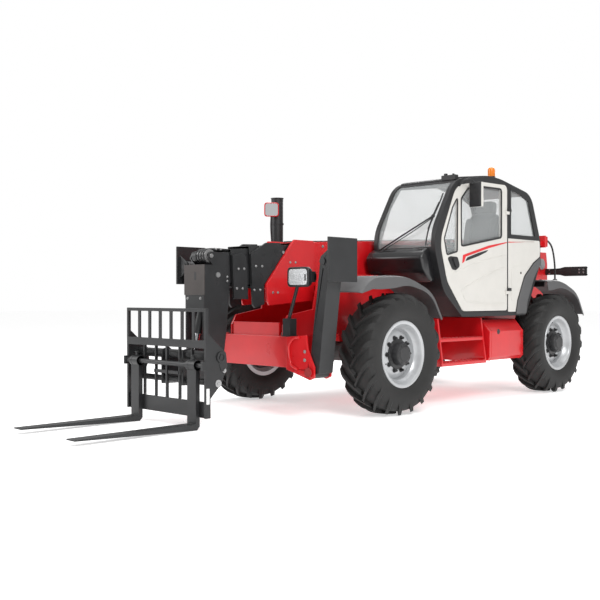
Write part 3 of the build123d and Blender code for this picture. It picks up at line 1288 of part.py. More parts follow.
tail_lamp = block(CHASSIS_HALF_WIDTH + FIT, TAIL_LAMP_OUTER_X, tail_y - TAIL_LAMP_AHEAD[0],
                  tail_y - TAIL_LAMP_AHEAD[1], *TAIL_LAMP_HEIGHTS)
keep("lamps", both_sides(lamp) + both_sides(tail_lamp))

# Beacon on the roof
BEACON_X = 940.0
BEACON_BEHIND = 1930.0
BEACON_RADIUS = 50.0
BEACON_ROOT = 15.0
BEACON_TALL = 135.0
beacon = bar_z(BEACON_X, front_y(BEACON_BEHIND), BEACON_RADIUS, CAB_ROOF_TOP - BEACON_ROOT,
               CAB_ROOF_TOP + BEACON_TALL)
beacon -= cab_slab(roof_face)
keep("cab_fittings", beacon)

for name, shape in nodes.items():
    export_step(shape, "parts/" + name + ".step")
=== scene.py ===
import bmesh
import bpy
from math import copysign, cos, pi, radians, sin, tan
from mathutils import Matrix, Vector


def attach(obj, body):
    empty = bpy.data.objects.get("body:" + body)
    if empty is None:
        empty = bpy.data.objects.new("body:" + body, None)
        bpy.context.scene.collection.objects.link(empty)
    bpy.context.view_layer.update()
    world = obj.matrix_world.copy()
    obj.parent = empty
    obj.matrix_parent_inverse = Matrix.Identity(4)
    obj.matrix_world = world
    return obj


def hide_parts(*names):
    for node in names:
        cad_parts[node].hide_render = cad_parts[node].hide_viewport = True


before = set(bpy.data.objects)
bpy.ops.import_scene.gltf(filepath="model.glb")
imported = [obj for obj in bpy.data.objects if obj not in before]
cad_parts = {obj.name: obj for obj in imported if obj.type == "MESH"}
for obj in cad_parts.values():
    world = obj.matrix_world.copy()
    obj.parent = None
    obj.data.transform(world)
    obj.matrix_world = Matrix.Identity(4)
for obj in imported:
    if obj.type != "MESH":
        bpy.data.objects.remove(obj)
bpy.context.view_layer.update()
scene = bpy.context.scene

# Places are given as on the machine: metres to the left, behind the front axle, and up
AXLE_Y = -0.475
WHEELBASE = 3.07
TYRE_RADIUS = 0.605
WHEEL_X = 1.01
BOOM_SLOPE = radians(3.0)
PIVOT_BEHIND = 4.0
PIVOT_Z = 1.62
FRAME_X = 0.393
CAB_X = 1.08
# Thickness of a flat dark mark that stands for a sunk cut-out: painted shade in place of the
# opening
SHADE_MARK_THICK = 0.0012
SIDES = ((1, "left"), (-1, "right"))
AXLES = (("front", 0.0), ("rear", WHEELBASE))
CORNERS = [(row + "_" + hand, side, behind) for row, behind in AXLES for side, hand in SIDES]

# Bolt heads: radius over the corners and height
BOLTS = {
    "light": (0.008, 0.006), "eye": (0.008, 0.008), "panel": (0.009, 0.008),
    "plate": (0.009, 0.01), "nose": (0.01, 0.009), "pad": (0.011, 0.009),
    "sheet": (0.012, 0.007), "beam": (0.012, 0.01), "frame": (0.013, 0.011),
    "carriage": (0.015, 0.013),
}


def at(x, behind, z):
    return Vector((x, AXLE_Y + behind, z))


def boom_at(x, ahead_of_axle, height):
    """A place in the boom's own frame: measured level, then sloped about the pivot."""
    level = -(PIVOT_BEHIND + ahead_of_axle) / cos(BOOM_SLOPE)
    turn = Matrix.Rotation(BOOM_SLOPE, 3, "X")
    return at(0.0, PIVOT_BEHIND, PIVOT_Z) + turn @ Vector((x, level, height))


def turns(count, shift=0.0):
    """The angles of equal steps round a circle."""
    return [2 * pi * (k + shift) / count for k in range(count)]


def round_x(x, r, angle):
    """A step from a point on an axle: along it, and out from it at an angle."""
    return Vector((x, r * cos(angle), r * sin(angle)))


# Materials
def set_inputs(node, **values):
    """Inputs by name, with _ for each space."""
    for name, value in values.items():
        node.inputs[name.replace("_", " ")].default_value = value


def add_node(tree, kind, **values):
    node = tree.nodes.new("ShaderNode" + kind)
    set_inputs(node, **values)
    return node


def node_material(name):
    made = bpy.data.materials.new(name)
    made.use_nodes = True
    return made, made.node_tree, made.node_tree.nodes["Principled BSDF"]


DUST_COLOUR = (0.3, 0.29, 0.28, 1)
ROUGH_SPREAD = 0.07


def surface(name, colour, rough, metal=0.0, spread=0.12, scale=6.0, bump=0.0, bump_scale=60.0,
            dust=0.0, coat=0.0):
    """Paint, metal or plastic with a little cloudiness, fine bump and settled dust."""
    made, tree, shader = node_material(name)
    link = tree.links.new
    place = add_node(tree, "TexCoord").outputs["Object"]
    cloud = add_node(tree, "TexNoise", Scale=scale, Detail=5.0)
    link(place, cloud.inputs["Vector"])
    ramp = add_node(tree, "ValToRGB")
    low, high = ramp.color_ramp.elements
    low.position = 0.3
    high.position = 0.7
    low.color = (*[c * (1 - spread) for c in colour], 1)
    high.color = (*[min(1.0, c * (1 + spread)) for c in colour], 1)
    link(cloud.outputs["Fac"], ramp.inputs["Fac"])
    tint = ramp.outputs["Color"]
    if dust:
        split = add_node(tree, "SeparateXYZ")
        link(add_node(tree, "NewGeometry").outputs["Normal"], split.inputs["Vector"])
        amount = add_node(tree, "Math")
        amount.operation = "MULTIPLY"
        amount.use_clamp = True
        amount.inputs[1].default_value = dust
        link(split.outputs["Z"], amount.inputs[0])
        mix = add_node(tree, "MixRGB", Color2=DUST_COLOUR)
        link(amount.outputs["Value"], mix.inputs["Fac"])
        link(tint, mix.inputs["Color1"])
        tint = mix.outputs["Color"]
    link(tint, shader.inputs["Base Color"])
    sheen = add_node(tree, "MapRange", To_Min=max(0.02, rough - ROUGH_SPREAD),
                     To_Max=min(1.0, rough + ROUGH_SPREAD))
    link(cloud.outputs["Fac"], sheen.inputs["Value"])
    link(sheen.outputs["Result"], shader.inputs["Roughness"])
    set_inputs(shader, Metallic=metal, Coat_Weight=coat)
    if bump:
        grain = add_node(tree, "TexNoise", Scale=bump_scale, Detail=3.0)
        link(place, grain.inputs["Vector"])
        raised = add_node(tree, "Bump", Strength=bump, Distance=0.003)
        link(grain.outputs["Fac"], raised.inputs["Height"])
        link(raised.outputs["Normal"], shader.inputs["Normal"])
    return made


def glass(name, tint, alpha):
    made, tree, shader = node_material(name)
    set_inputs(shader, Base_Color=(*tint, 1), Roughness=0.03, Alpha=alpha,
               Specular_IOR_Level=0.6)
    made.blend_method = "BLEND"
    return made


LOOKS = {
    "red": surface("red_paint", (0.58, 0.008, 0.012), 0.3, spread=0.06, coat=0.35, dust=0.03),
    "dark": surface("dark_paint", (0.015, 0.0155, 0.0165), 0.42, spread=0.2, bump=0.1,
                    bump_scale=90, dust=0.02),
    "black": surface("black_plastic", (0.012, 0.012, 0.013), 0.5, bump=0.15, bump_scale=160),
    "plate": surface("bare_brown_paint", (0.045, 0.036, 0.033), 0.4, spread=0.15),
    "rim": surface("rim_paint", (0.48, 0.49, 0.5), 0.33, metal=0.35, spread=0.05),
    "hub": surface("hub_paint", (0.02, 0.02, 0.021), 0.4),
    "panel": surface("panel_paint", (0.6, 0.585, 0.55), 0.35, spread=0.03, coat=0.2),
    "rubber": surface("tyre_rubber", (0.011, 0.0108, 0.0105), 0.66, spread=0.25, scale=9,
                      bump=0.3, bump_scale=45, dust=0.02),
    "chrome": surface("rod_chrome", (0.62, 0.63, 0.65), 0.16, metal=1.0, spread=0.03),
    "steel": surface("bare_steel", (0.4, 0.4, 0.4), 0.35, metal=0.9, spread=0.1),
    "zinc": surface("zinc_bolts", (0.38, 0.38, 0.38), 0.35, metal=0.8, spread=0.1),
    "iron": surface("axle_iron", (0.03, 0.03, 0.03), 0.55, bump=0.25, bump_scale=70),
    "fender": surface("grey_plastic", (0.085, 0.085, 0.087), 0.5, spread=0.06, bump=0.1,
                      bump_scale=220),
    "seat": surface("seat_fabric", (0.02, 0.02, 0.022), 0.85, spread=0.3, scale=40, bump=0.5,
                    bump_scale=350),
    "white": surface("white_plate", (0.75, 0.75, 0.74), 0.4, spread=0.03),
    "orange": surface("orange_lens", (0.75, 0.2, 0.01), 0.2, spread=0.05),
    "redlens": surface("red_lens", (0.5, 0.01, 0.01), 0.2, spread=0.05),
    "mirror": surface("mirror_glass", (0.85, 0.86, 0.87), 0.04, metal=1.0, spread=0.01),
    "reflector": surface("lamp_reflector", (0.9, 0.91, 0.93), 0.22, metal=0.7, spread=0.1,
                         bump=0.8, bump_scale=60),
    "gloss": surface("gloss_black", (0.008, 0.008, 0.009), 0.3, spread=0.1, coat=0.3),
    "hose": surface("hose_rubber", (0.013, 0.013, 0.014), 0.45, spread=0.2, bump=0.3,
                    bump_scale=400),
    "stripe": surface("stripe_red", (0.62, 0.015, 0.02), 0.35, spread=0.04),
    "worn": surface("worn_red", (0.3, 0.02, 0.02), 0.4, spread=0.2),
    "glass": glass("cab_glass", (0.62, 0.65, 0.65), 0.22),
    "lens": glass("lamp_lens", (0.9, 0.92, 0.94), 0.1),
}


# CAD nodes: a look for each, and the width of its softened edges, or 0 for none
def round_edges(made, width, angle):
    rounder = made.modifiers.new("edge", "BEVEL")
    rounder.width = width
    rounder.segments = 2
    rounder.limit_method = "ANGLE"
    rounder.angle_limit = radians(angle)
    return rounder


def soften(node, width):
    if "custom_normal" in node.data.attributes:
        node.data.attributes.remove(node.data.attributes["custom_normal"])
    node.data.shade_smooth()
    weld = node.modifiers.new("weld", "WELD")
    weld.merge_threshold = 0.00005
    round_edges(node, width, 28).use_clamp_overlap = False
    node.modifiers.new("shading", "WEIGHTED_NORMAL")


NODE_LOOKS = [
    ("red", 0.003, ["chassis_frame"]),
    ("red", 0.004, ["front_beam", "boom_outer"]),
    ("red", 0.006, ["engine_hood", "side_tank"]),
    ("red", 0.002, ["steps"]),
    ("dark", 0.003, ["boom_second", "boom_third", "boom_nose", "coupler", "fork_carriage",
                     "fork_left", "fork_right", "stabiliser_foot_left",
                     "stabiliser_foot_right"]),
    ("dark", 0.004, ["stabiliser_leg_left", "stabiliser_leg_right"]),
    ("dark", 0.005, ["engine_cowl"]),
    ("dark", 0, ["tilt_barrel", "lift_barrel"]),
    ("black", 0.004, ["cab_shell", "cab_roof"]),
    ("black", 0, ["dash_cowl", "steering_wheel", "lamps"]),
    ("panel", 0.002, ["cab_door"]),
    ("iron", 0.004, ["engine_block"]),
    ("iron", 0, ["front_axle", "rear_axle"]),
    ("iron", 0, ["knuckle_" + corner for corner, _, _ in CORNERS]),
    ("rubber", 0, ["tyre_" + corner for corner, _, _ in CORNERS]),
    ("rim", 0, ["rim_" + corner for corner, _, _ in CORNERS]),
    ("chrome", 0, ["tilt_rod", "lift_rod"]),
    ("glass", 0, ["cab_glass", "door_glass"]),
    ("seat", 0, ["seat"]),
    ("fender", 0, ["fenders"]),
    ("orange", 0, ["cab_fittings"]),
]
for look, edge, names in NODE_LOOKS:
    for name in names:
        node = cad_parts[name]
        node.data.materials.clear()
        node.data.materials.append(LOOKS[look])
        if edge:
            soften(node, edge)


# Flat outlines: rounded corners, offsets, and where they stand on the machine
def oblong(a0, a1, b0, b1):
    return [(a0, b0), (a1, b0), (a1, b1), (a0, b1)]


def bend(start, corner, end, steps):
    """A round bend from start to end, drawn towards the corner."""
    out = []
    for k in range(steps + 1):
        u = k / steps
        out.append(start * (1 - u) ** 2 + corner * 2 * u * (1 - u) + end * u ** 2)
    return out


def rounded(points, radius, steps=6):
    """A closed outline of 2-D points with its corners rounded off."""
    out = []
    count = len(points)
    radii = radius if isinstance(radius, list) else [radius] * count
    for i in range(count):
        here = Vector(points[i])
        before = Vector(points[i - 1]) - here
        after = Vector(points[(i + 1) % count]) - here
        reach = radii[i] / tan(before.angle(after) / 2)
        reach = min(reach, 0.48 * before.length, 0.48 * after.length)
        out += bend(here + before.normalized() * reach, here,
                    here + after.normalized() * reach, steps)
    return out


def grown(loop, distance):
    """A closed outline moved outward by a distance, or inward by a negative one."""
    count = len(loop)
    area = sum(loop[i - 1].x * loop[i].y - loop[i].x * loop[i - 1].y for i in range(count))
    sign = 1 if area > 0 else -1
    out = []
    for i in range(count):
        way = (loop[(i + 1) % count] - loop[i - 1]).normalized()
        out.append(loop[i] + Vector((way.y, -way.x)) * distance * sign)
    return out


def side_view(loop, x):
    """An outline of (behind, z) places, stood up lengthwise at x."""
    return [at(x, p[0], p[1]) for p in loop]


def front_view(loop, behind):
    """An outline of (x, z) places, stood up across the machine."""
    return [at(p[0], behind, p[1]) for p in loop]


def heading(points, i):
    """The direction of a path at one of its points."""
    return (points[min(i + 1, len(points) - 1)] - points[max(i - 1, 0)]).normalized()


def smooth_path(points, steps):
    """A curve through all the points, with a number of steps from each to the next."""
    if len(points) < 3:
        return points
    ends = [points[0] * 2 - points[1]] + points + [points[-1] * 2 - points[-2]]
    out = []
    for i in range(1, len(ends) - 2):
        a, b, c, d = ends[i - 1:i + 3]
        for k in range(steps):
            t = k / steps
            out.append(0.5 * ((2 * b) + (c - a) * t + (2 * a - 5 * b + 4 * c - d) * t ** 2
                              + (3 * b - a - 3 * c + d) * t ** 3))
    out.append(points[-1])
    return out


# Mesh helpers: loose shapes gathered into one piece, then bevelled
class Shape:
    def __init__(self):
        self.verts = []
        self.faces = []

    def grid(self, rows, row_closed=True, rows_joined=False):
        """Rows of equal length with faces between them."""
        first = len(self.verts)
        count = len(rows[0])
        self.verts += [v for row in rows for v in row]
        for k in range(len(rows) if rows_joined else len(rows) - 1):
            here = first + k * count
            beyond = first + (k + 1) % len(rows) * count
            for i in range(count if row_closed else count - 1):
                j = (i + 1) % count
                self.faces.append((here + i, here + j, beyond + j, beyond + i))
        return self

    def loft(self, loops):
        """Rings of equal length joined in order, closed at both ends."""
        first = len(self.verts)
        count = len(loops[0])
        self.grid(loops)
        self.faces.append(tuple(reversed(range(first, first + count))))
        self.faces.append(tuple(range(len(self.verts) - count, len(self.verts))))
        return self

    def box(self, across, behind, up):
        """A block between two places in each direction."""
        flat = oblong(*across, *behind)
        return self.loft([[at(x, y, z) for x, y in flat] for z in up])

    def prism(self, loop, push):
        return self.loft([loop, [v + Vector(push) for v in loop]])

    def side_plate(self, loop, x0, x1):
        """A plate in the side view, from x0 to x1, its outline in (behind, z)."""
        return self.loft([side_view(loop, x0), side_view(loop, x1)])

    def side_ring(self, outline, outer, inner, x0, x1):
        """A flat ring in the side view, between two offsets of an outline."""
        edges = ((outer, x0), (outer, x1), (inner, x1), (inner, x0))
        return self.grid([side_view(grown(outline, offset), x) for offset, x in edges],
                         rows_joined=True)

    def rod(self, start, end, r0, r1=None, sides=20):
        turn = (end - start).to_track_quat("Z", "Y")
        loops = []
        for place, r in ((start, r0), (end, r0 if r1 is None else r1)):
            loops.append([place + turn @ Vector((r * cos(a), r * sin(a), 0))
                          for a in turns(sides)])
        return self.loft(loops)

    def stub(self, place, push, r0, r1=None, sides=20):
        """A short round bar or disc that stands on a place."""
        return self.rod(place, place + Vector(push), r0, r1, sides)

    def hexes(self, places, normal, bolt, washer=True):
        """Hexagon bolt heads on round washers."""
        r, height = BOLTS[bolt]
        for place in places:
            if washer:
                self.stub(place, Vector(normal) * height * 0.3, r * 1.45, sides=16)
            self.stub(place, Vector(normal) * height, r, r * 0.96, sides=6)
        return self

    def tube(self, points, r, sides=10, steps=8):
        """A round hose or rail along a smooth path."""
        path = smooth_path(points, steps)
        loops = []
        up = Vector((0, 0, 1))
        for i, p in enumerate(path):
            ahead = heading(path, i)
            side = ahead.cross(up)
            if side.length < 0.05:
                side = ahead.cross(Vector((0, 1, 0)))
            side.normalize()
            up = side.cross(ahead).normalized()
            loops.append([p + side * r * cos(a) + up * r * sin(a) for a in turns(sides)])
        return self.loft(loops)

    def turned(self, profile, centre, axis="X", side=1, sides=72, closed=True):
        """A profile of (along, radius) points turned about an axis through the centre."""
        rows = []
        for a in turns(sides):
            row = []
            for along, r in profile:
                spot = [r * cos(a), r * sin(a)]
                spot.insert("XYZ".index(axis), side * along)
                row.append(centre + Vector(spot))
            rows.append(row)
        return self.grid(rows, row_closed=closed, rows_joined=True)

    def pad(self, centre, half, tilt=0.0, power=0.45, rings=14, sides=28):
        """A soft rounded block, tilted about the X axis by an angle in degrees."""
        turn = Matrix.Rotation(radians(tilt), 3, "X")

        def swell(value):
            return copysign(abs(value) ** power, value)

        loops = []
        for k in range(1, rings):
            v = -pi / 2 + pi * k / rings
            wide = swell(cos(v))
            loops.append([centre + turn @ Vector((half[0] * wide * swell(cos(u)),
                                                  half[1] * wide * swell(sin(u)),
                                                  half[2] * swell(sin(v)))) for u in turns(sides)])
        return self.loft(loops)


def oblong_loft(centre, stations, turn=Matrix.Identity(3)):
    """Rings round a centre, each of half width, half height, depth and corner radius."""
    loops = []
    for half_w, half_h, depth, corner in stations:
        flat = rounded(oblong(-half_w, half_w, -half_h, half_h), corner)
        loops.append([centre + turn @ Vector((p.x, depth, p.y)) for p in flat])
    return Shape().loft(loops)


def piece(name, shape, look, body="chassis", bevel=0.0, replaces=None, smooth=35.0):
    mesh = bpy.data.meshes.new(name)
    mesh.from_pydata([tuple(v) for v in shape.verts], [], shape.faces)
    work = bmesh.new()
    work.from_mesh(mesh)
    bmesh.ops.remove_doubles(work, verts=work.verts, dist=0.00005)
    bmesh.ops.recalc_face_normals(work, faces=work.faces)
    work.to_mesh(mesh)
    work.free()
    mesh.shade_smooth()
    mesh.set_sharp_from_angle(angle=radians(smooth))
    made = bpy.data.objects.new(name, mesh)
    scene.collection.objects.link(made)
    mesh.materials.append(LOOKS[look])
    if bevel:
        round_edges(made, bevel, 40).harden_normals = True
    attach(made, body)
    if replaces:
        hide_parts(*replaces)
    return made


# Tyres: a turned carcass with two rows of swept lugs
TYRE_PROFILE = [
    (0.15, 0.3055), (0.157, 0.336), (0.183, 0.372), (0.196, 0.42), (0.2, 0.47),
    (0.193, 0.515), (0.176, 0.545), (0.15, 0.558), (0.1, 0.566), (0.0, 0.569),
]
TREAD = sorted(TYRE_PROFILE[4:])
LUGS = 19
LUG_SWEEP = 0.43
LUG_STATIONS = 9
LUG_START = -0.016
LUG_RUN = 0.215
LUG_REACH = 0.1985
LUG_ROOT = 0.012
LUG_HALF = 0.016
LUG_FLARE = 0.01
LUG_END = 0.93
SHOULDER_X = 0.11
SHOULDER_WIDTH = 0.09
SHOULDER_DROP = 0.045


def carcass_radius(x):
    for (x0, r0), (x1, r1) in zip(TREAD, TREAD[1:]):
        if x0 <= abs(x) <= x1:
            return r0 + (r1 - r0) * (abs(x) - x0) / (x1 - x0)
    return TREAD[-1][1]


def lug_ring(centre, half, start, t):
    """A section of a lug, with t from 0 in the middle of the tread to 1 at its shoulder."""
    x = half * (LUG_START + LUG_RUN * t ** 0.9)
    x = max(-LUG_REACH, min(LUG_REACH, x))
    past_shoulder = max(0.0, (abs(x) - SHOULDER_X) / SHOULDER_WIDTH)
    top = TYRE_RADIUS - SHOULDER_DROP * past_shoulder ** 2.2
    base = carcass_radius(x) - LUG_ROOT
    if t > LUG_END:
        top = carcass_radius(0.193) + LUG_ROOT
    half_top = LUG_HALF + LUG_FLARE * t
    half_base = half_top + LUG_FLARE
    angle = start - LUG_SWEEP * t ** 0.85
    corners = ((base, -half_base), (top, -half_top), (top, half_top), (base, half_base))
    return [centre + round_x(x, r, angle + w / r) for r, w in corners]


def tyre_piece(corner, centre):
    profile = TYRE_PROFILE + [(-x, r) for x, r in reversed(TYRE_PROFILE[:-1])]
    shape = Shape().turned(profile, centre, sides=96)
    for half, shift in ((1, 0.0), (-1, 0.5)):
        for start in turns(LUGS, shift):
            shape.loft([lug_ring(centre, half, start, k / LUG_STATIONS)
                        for k in range(LUG_STATIONS + 1)])
    piece("tyre_tread_" + corner, shape, "rubber", "wheel_" + corner,
          replaces=["tyre_" + corner], smooth=28)


# Rims: turned rim and hub, wheel nuts on their washers, cover bolts and the valve
RIM_FACE = [
    (-0.162, 0.291), (-0.15, 0.291), (-0.11, 0.25), (0.01, 0.25), (0.024, 0.236),
    (0.052, 0.205), (0.062, 0.186), (0.064, 0.1), (0.08, 0.1), (0.081, 0.184),
    (0.07, 0.214), (0.042, 0.246), (0.04, 0.2535), (0.085, 0.258), (0.112, 0.283),
    (0.14, 0.29), (0.158, 0.3), (0.164, 0.318), (0.163, 0.331), (0.157, 0.335),
    (0.1503, 0.331), (0.1503, 0.3045), (0.11, 0.2995), (0.082, 0.27), (-0.1, 0.265),
    (-0.1503, 0.3045), (-0.1503, 0.331), (-0.162, 0.334),
]
HUB_FACE = [
    (0.02, 0.0), (0.02, 0.112), (0.064, 0.1125), (0.064, 0.152), (0.09, 0.15),
    (0.096, 0.1135), (0.15, 0.112), (0.166, 0.103), (0.171, 0.074), (0.177, 0.07),
    (0.177, 0.0),
]
NUT_CIRCLE = 0.168
COVER_CIRCLE = 0.088
VALVE_CIRCLE = 0.262
VALVE_ANGLE = radians(200)


def rim_piece(corner, side, centre):
    body = "wheel_" + corner
    rim = Shape().turned(RIM_FACE, centre, side=side, sides=96)
    piece("rim_turned_" + corner, rim, "rim", body,
          replaces=["rim_" + corner], smooth=30)
    hub = Shape().turned(HUB_FACE, centre, side=side, sides=64)
    for angle in turns(10):
        spot = centre + round_x(side * 0.08, NUT_CIRCLE, angle)
        hub.stub(spot, (side * 0.008, 0, 0), 0.024)
        hub.stub(spot, (side * 0.03, 0, 0), 0.017, 0.016, sides=6)
        hub.stub(spot, (side * 0.041, 0, 0), 0.01, sides=14)
    for angle in turns(8, 0.5):
        spot = centre + round_x(side * 0.164, COVER_CIRCLE, angle)
        hub.stub(spot, (side * 0.009, 0, 0), 0.009, sides=6)
    piece("hub_" + corner, hub, "hub", body, bevel=0.0012)
    spot = centre + round_x(side * 0.09, VALVE_CIRCLE, VALVE_ANGLE)
    valve = Shape().stub(spot, round_x(side * 0.045, -0.012, VALVE_ANGLE), 0.006, 0.005, sides=10)
    piece("valve_" + corner, valve, "black", body)


for corner, side, behind in CORNERS:
    wheel_centre = at(side * WHEEL_X, behind, TYRE_RADIUS)
    tyre_piece(corner, wheel_centre)
    rim_piece(corner, side, wheel_centre)

# Boom plates: paired bolts, pins, and half-moon cut-outs drawn as flat black marks of painted
# shade
SECOND_X = 0.184
MOONS = [(-0.853, 1.488, 0.052, -100), (-1.02, 1.355, 0.052, -100), (-0.972, 1.597, 0.026, 180)]
PLATE_BOLTS = {
    "outer": (0.204, "boom", [
        (-0.622, 1.522), (-0.546, 1.524), (-0.862, 1.216), (-0.794, 1.216)]),
    "second": (SECOND_X, "second", [
        (-1.072, 1.473), (-0.99, 1.475), (-1.092, 1.24), (-1.015, 1.241)]),
    "third": (0.164, "third", [
        (-1.281, 1.443), (-1.208, 1.445), (-1.301, 1.254), (-1.228, 1.254)]),
}
for section, (x, body, places) in PLATE_BOLTS.items():
    bolts = Shape()
    for side in (1, -1):
        bolts.hexes(side_view(places, side * x), (side, 0, 0), "plate")
    piece("bolts_" + section, bolts, "zinc", body, bevel=0.001)

# Half-moon cut-outs and a round hole on the second section: flat black marks, painted shade in
# place of the openings
cutout_shade = Shape()
pins = Shape()
for side in (1, -1):
    x = side * SECOND_X
    for behind, z, r, start in MOONS:
        arc = [at(x, behind, z) + round_x(0, r, radians(start) + pi * k / 12) for k in range(13)]
        cutout_shade.prism(arc, (side * SHADE_MARK_THICK, 0, 0))
    cutout_shade.stub(at(x, -0.792, 1.63), (side * 0.0015, 0, 0), 0.03)
    pins.stub(at(x, -0.705, 1.622), (side * 0.008, 0, 0), 0.016)
piece("cutout_shade_second", cutout_shade, "black", "second")
piece("pins_second", pins, "zinc", "second", bevel=0.001)

# Headlamps on stalks: shell, bowl, bulbs, marker and lens
LAMP_X = 0.707
LAMP_Z = 1.36
STALK_X = 0.53
LAMP_SHELL = [
    (0.08, 0.05, -0.912, 0.03), (0.125, 0.08, -0.95, 0.04), (0.141, 0.094, -0.985, 0.045),
    (0.143, 0.095, -1.012, 0.045), (0.138, 0.09, -1.02, 0.043), (0.125, 0.079, -1.02, 0.038),
    (0.122, 0.076, -0.998, 0.036),
]
LAMP_BOWL = [
    (0.121, 0.075, -1.0185, 0.0375), (0.112, 0.068, -1.008, 0.034),
    (0.098, 0.06, -1.001, 0.03), (0.07, 0.045, -0.9985, 0.0225),
]
LAMP_LENS = [
    (0.122, 0.076, -1.0165, 0.038), (0.118, 0.072, -1.0215, 0.036),
    (0.08, 0.048, -1.0245, 0.024), (0.03, 0.018, -1.025, 0.01),
]
BULBS = [(-0.052, 0.0, 0.05), (0.04, 0.022, 0.03), (0.04, -0.04, 0.02)]


def headlamp(side, tag):
    x = side * LAMP_X
    centre = at(x, 0.0, LAMP_Z)
    shell = oblong_loft(centre, LAMP_SHELL)
    hinge = x + side * 0.145
    shell.box((hinge - 0.012, hinge + 0.012), (-0.995, -0.935), (LAMP_Z - 0.05, LAMP_Z + 0.05))
    shell.box((hinge - 0.05, hinge + 0.012), (-0.955, -0.925), (LAMP_Z - 0.03, LAMP_Z + 0.03))
    foot = side * STALK_X
    head = at(side * 0.645, -0.955, 1.285)
    shell.rod(at(foot, -0.96, 0.95), head, 0.017, sides=16)
    shell.stub(head - Vector((0, 0, 0.02)), (0, 0, 0.05), 0.028, sides=16)
    shell.box((foot - 0.05, foot + 0.05), (-0.995, -0.905), (0.7915, 0.965))
    shell.box((foot - 0.06, foot + 0.06), (-1.0, -0.9), (0.7915, 0.803))
    piece("headlamp_shell_" + tag, shell, "black", bevel=0.003)
    piece("headlamp_reflector_" + tag, oblong_loft(centre, LAMP_BOWL), "reflector")
    bulbs = Shape()
    for across, up, r in BULBS:
        spot = at(x + side * across, -1.002, LAMP_Z + up)
        bulbs.turned([(0.0, r * 0.5), (-0.01, r), (-0.013, r), (-0.009, r * 0.6),
                      (-0.004, r * 0.4)], spot, axis="Y", sides=28)
        bulbs.stub(spot, (0, -0.01, 0), r * 0.34, r * 0.2, sides=16)
    piece("headlamp_bulbs_" + tag, bulbs, "chrome")
    marker_x = x + side * 0.098
    marker = Shape().box((marker_x - 0.014, marker_x + 0.014), (-1.0185, -1.004),
                         (LAMP_Z - 0.04, LAMP_Z + 0.03))
    piece("headlamp_marker_" + tag, marker, "orange", bevel=0.003)
    piece("headlamp_lens_" + tag, oblong_loft(centre, LAMP_LENS), "lens")


# Tail-lamp bars across the rear, each with three lens cells
TAIL_LOW = 1.455
TAIL_HIGH = 1.58
TAIL_X = 1.0
TAIL_FACE = 4.142
TAIL_THICK = 0.022
TAIL_BOLTS = [(0.46, 1.49), (0.46, 1.545), (0.9, 1.5), (0.96, 1.5), (0.9, 1.54), (0.96, 1.54)]
TAIL_CELLS = [("redlens", 0.705, 0.8), ("orange", 0.805, 0.89), ("white", 0.895, 0.985)]


def tail_lamp(side, tag):
    bar = Shape()
    half = [(FRAME_X, TAIL_LOW + 0.02), (0.6, TAIL_LOW + 0.02), (0.68, TAIL_LOW),
            (TAIL_X, TAIL_LOW), (TAIL_X, TAIL_HIGH), (0.68, TAIL_HIGH),
            (0.6, TAIL_HIGH - 0.02), (FRAME_X, TAIL_HIGH - 0.02)]
    face = rounded([(side * x, z) for x, z in half], 0.01, 3)
    bar.prism(front_view(face, TAIL_FACE), (0, TAIL_THICK, 0))
    bar.prism(front_view(grown(face, -0.012), TAIL_FACE - 0.002), (0, -0.006, 0))
    for z in (TAIL_LOW + 0.012, TAIL_HIGH - 0.022):
        bar.box((side * 0.7, side * TAIL_X), (TAIL_FACE, TAIL_FACE + 0.036), (z, z + 0.01))
    piece("tail_bracket_" + tag, bar, "black", bevel=0.002)
    spots = front_view([(side * x, z) for x, z in TAIL_BOLTS], TAIL_FACE - 0.008)
    piece("tail_bolts_" + tag, Shape().hexes(spots, (0, -1, 0), "light"), "zinc")
    for look, x0, x1 in TAIL_CELLS:
        face = rounded(oblong(side * x0, side * x1, TAIL_LOW + 0.026, TAIL_HIGH - 0.026),
                       0.008, 3)
        rear = TAIL_FACE + TAIL_THICK
        cell = Shape().loft([front_view(face, rear), front_view(face, rear + 0.01),
                             front_view(grown(face, -0.008), rear + 0.015)])
        piece("tail_%s_%s" % (look, tag), cell, look)


for side, tag in SIDES:
    headlamp(side, tag)
    tail_lamp(side, tag)
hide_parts("lamps")

# Nose: brown front armour, dark marks of painted shade for its slots, pins, bolts, and hoses over
# the guide rollers
NOSE_FRONT = -1.6905
NOSE_X = 0.138
ARMOUR_THICK = 0.005
ROLLER = (-1.6, 1.56)
HOSE_PLACES = (-0.01, 0.027, 0.064, 0.101)
armour = Shape().prism(front_view(rounded(oblong(-0.15, 0.154, 1.19, 1.476), 0.006, 2),
                                  NOSE_FRONT), (0, -ARMOUR_THICK, 0))
piece("nose_armour", armour, "plate", "nose", bevel=0.0015)
# Slots in the nose drawn as thin dark marks: painted shade where the sunk slots would be
slot_shade = Shape().prism(front_view(rounded(oblong(0.004, 0.032, 1.33, 1.41), 0.012),
                                 NOSE_FRONT - ARMOUR_THICK - 0.0002), (0, -SHADE_MARK_THICK, 0))
studs = Shape().hexes([at(x, NOSE_FRONT, 1.158) for x in (-0.1, 0.09)], (0, -1, 0), "nose")
for side in (1, -1):
    x = side * NOSE_X
    for z in (1.3, 1.335):
        slot_shade.stub(at(x + side * 0.0005, -1.514, z), (side * SHADE_MARK_THICK, 0, 0), 0.018)
    studs.hexes([at(x, -1.4, z) for z in (1.365, 1.324)], (side, 0, 0), "eye")
    studs.stub(at(x, -1.52, 1.38), (side * 0.012, 0, 0), 0.026, 0.024, sides=28)
    studs.stub(at(x, *ROLLER), (side * 0.01, 0, 0), 0.02, sides=24)
piece("nose_slot_shade", slot_shade, "hub", "nose")
piece("nose_pins", studs, "zinc", "nose", bevel=0.001)

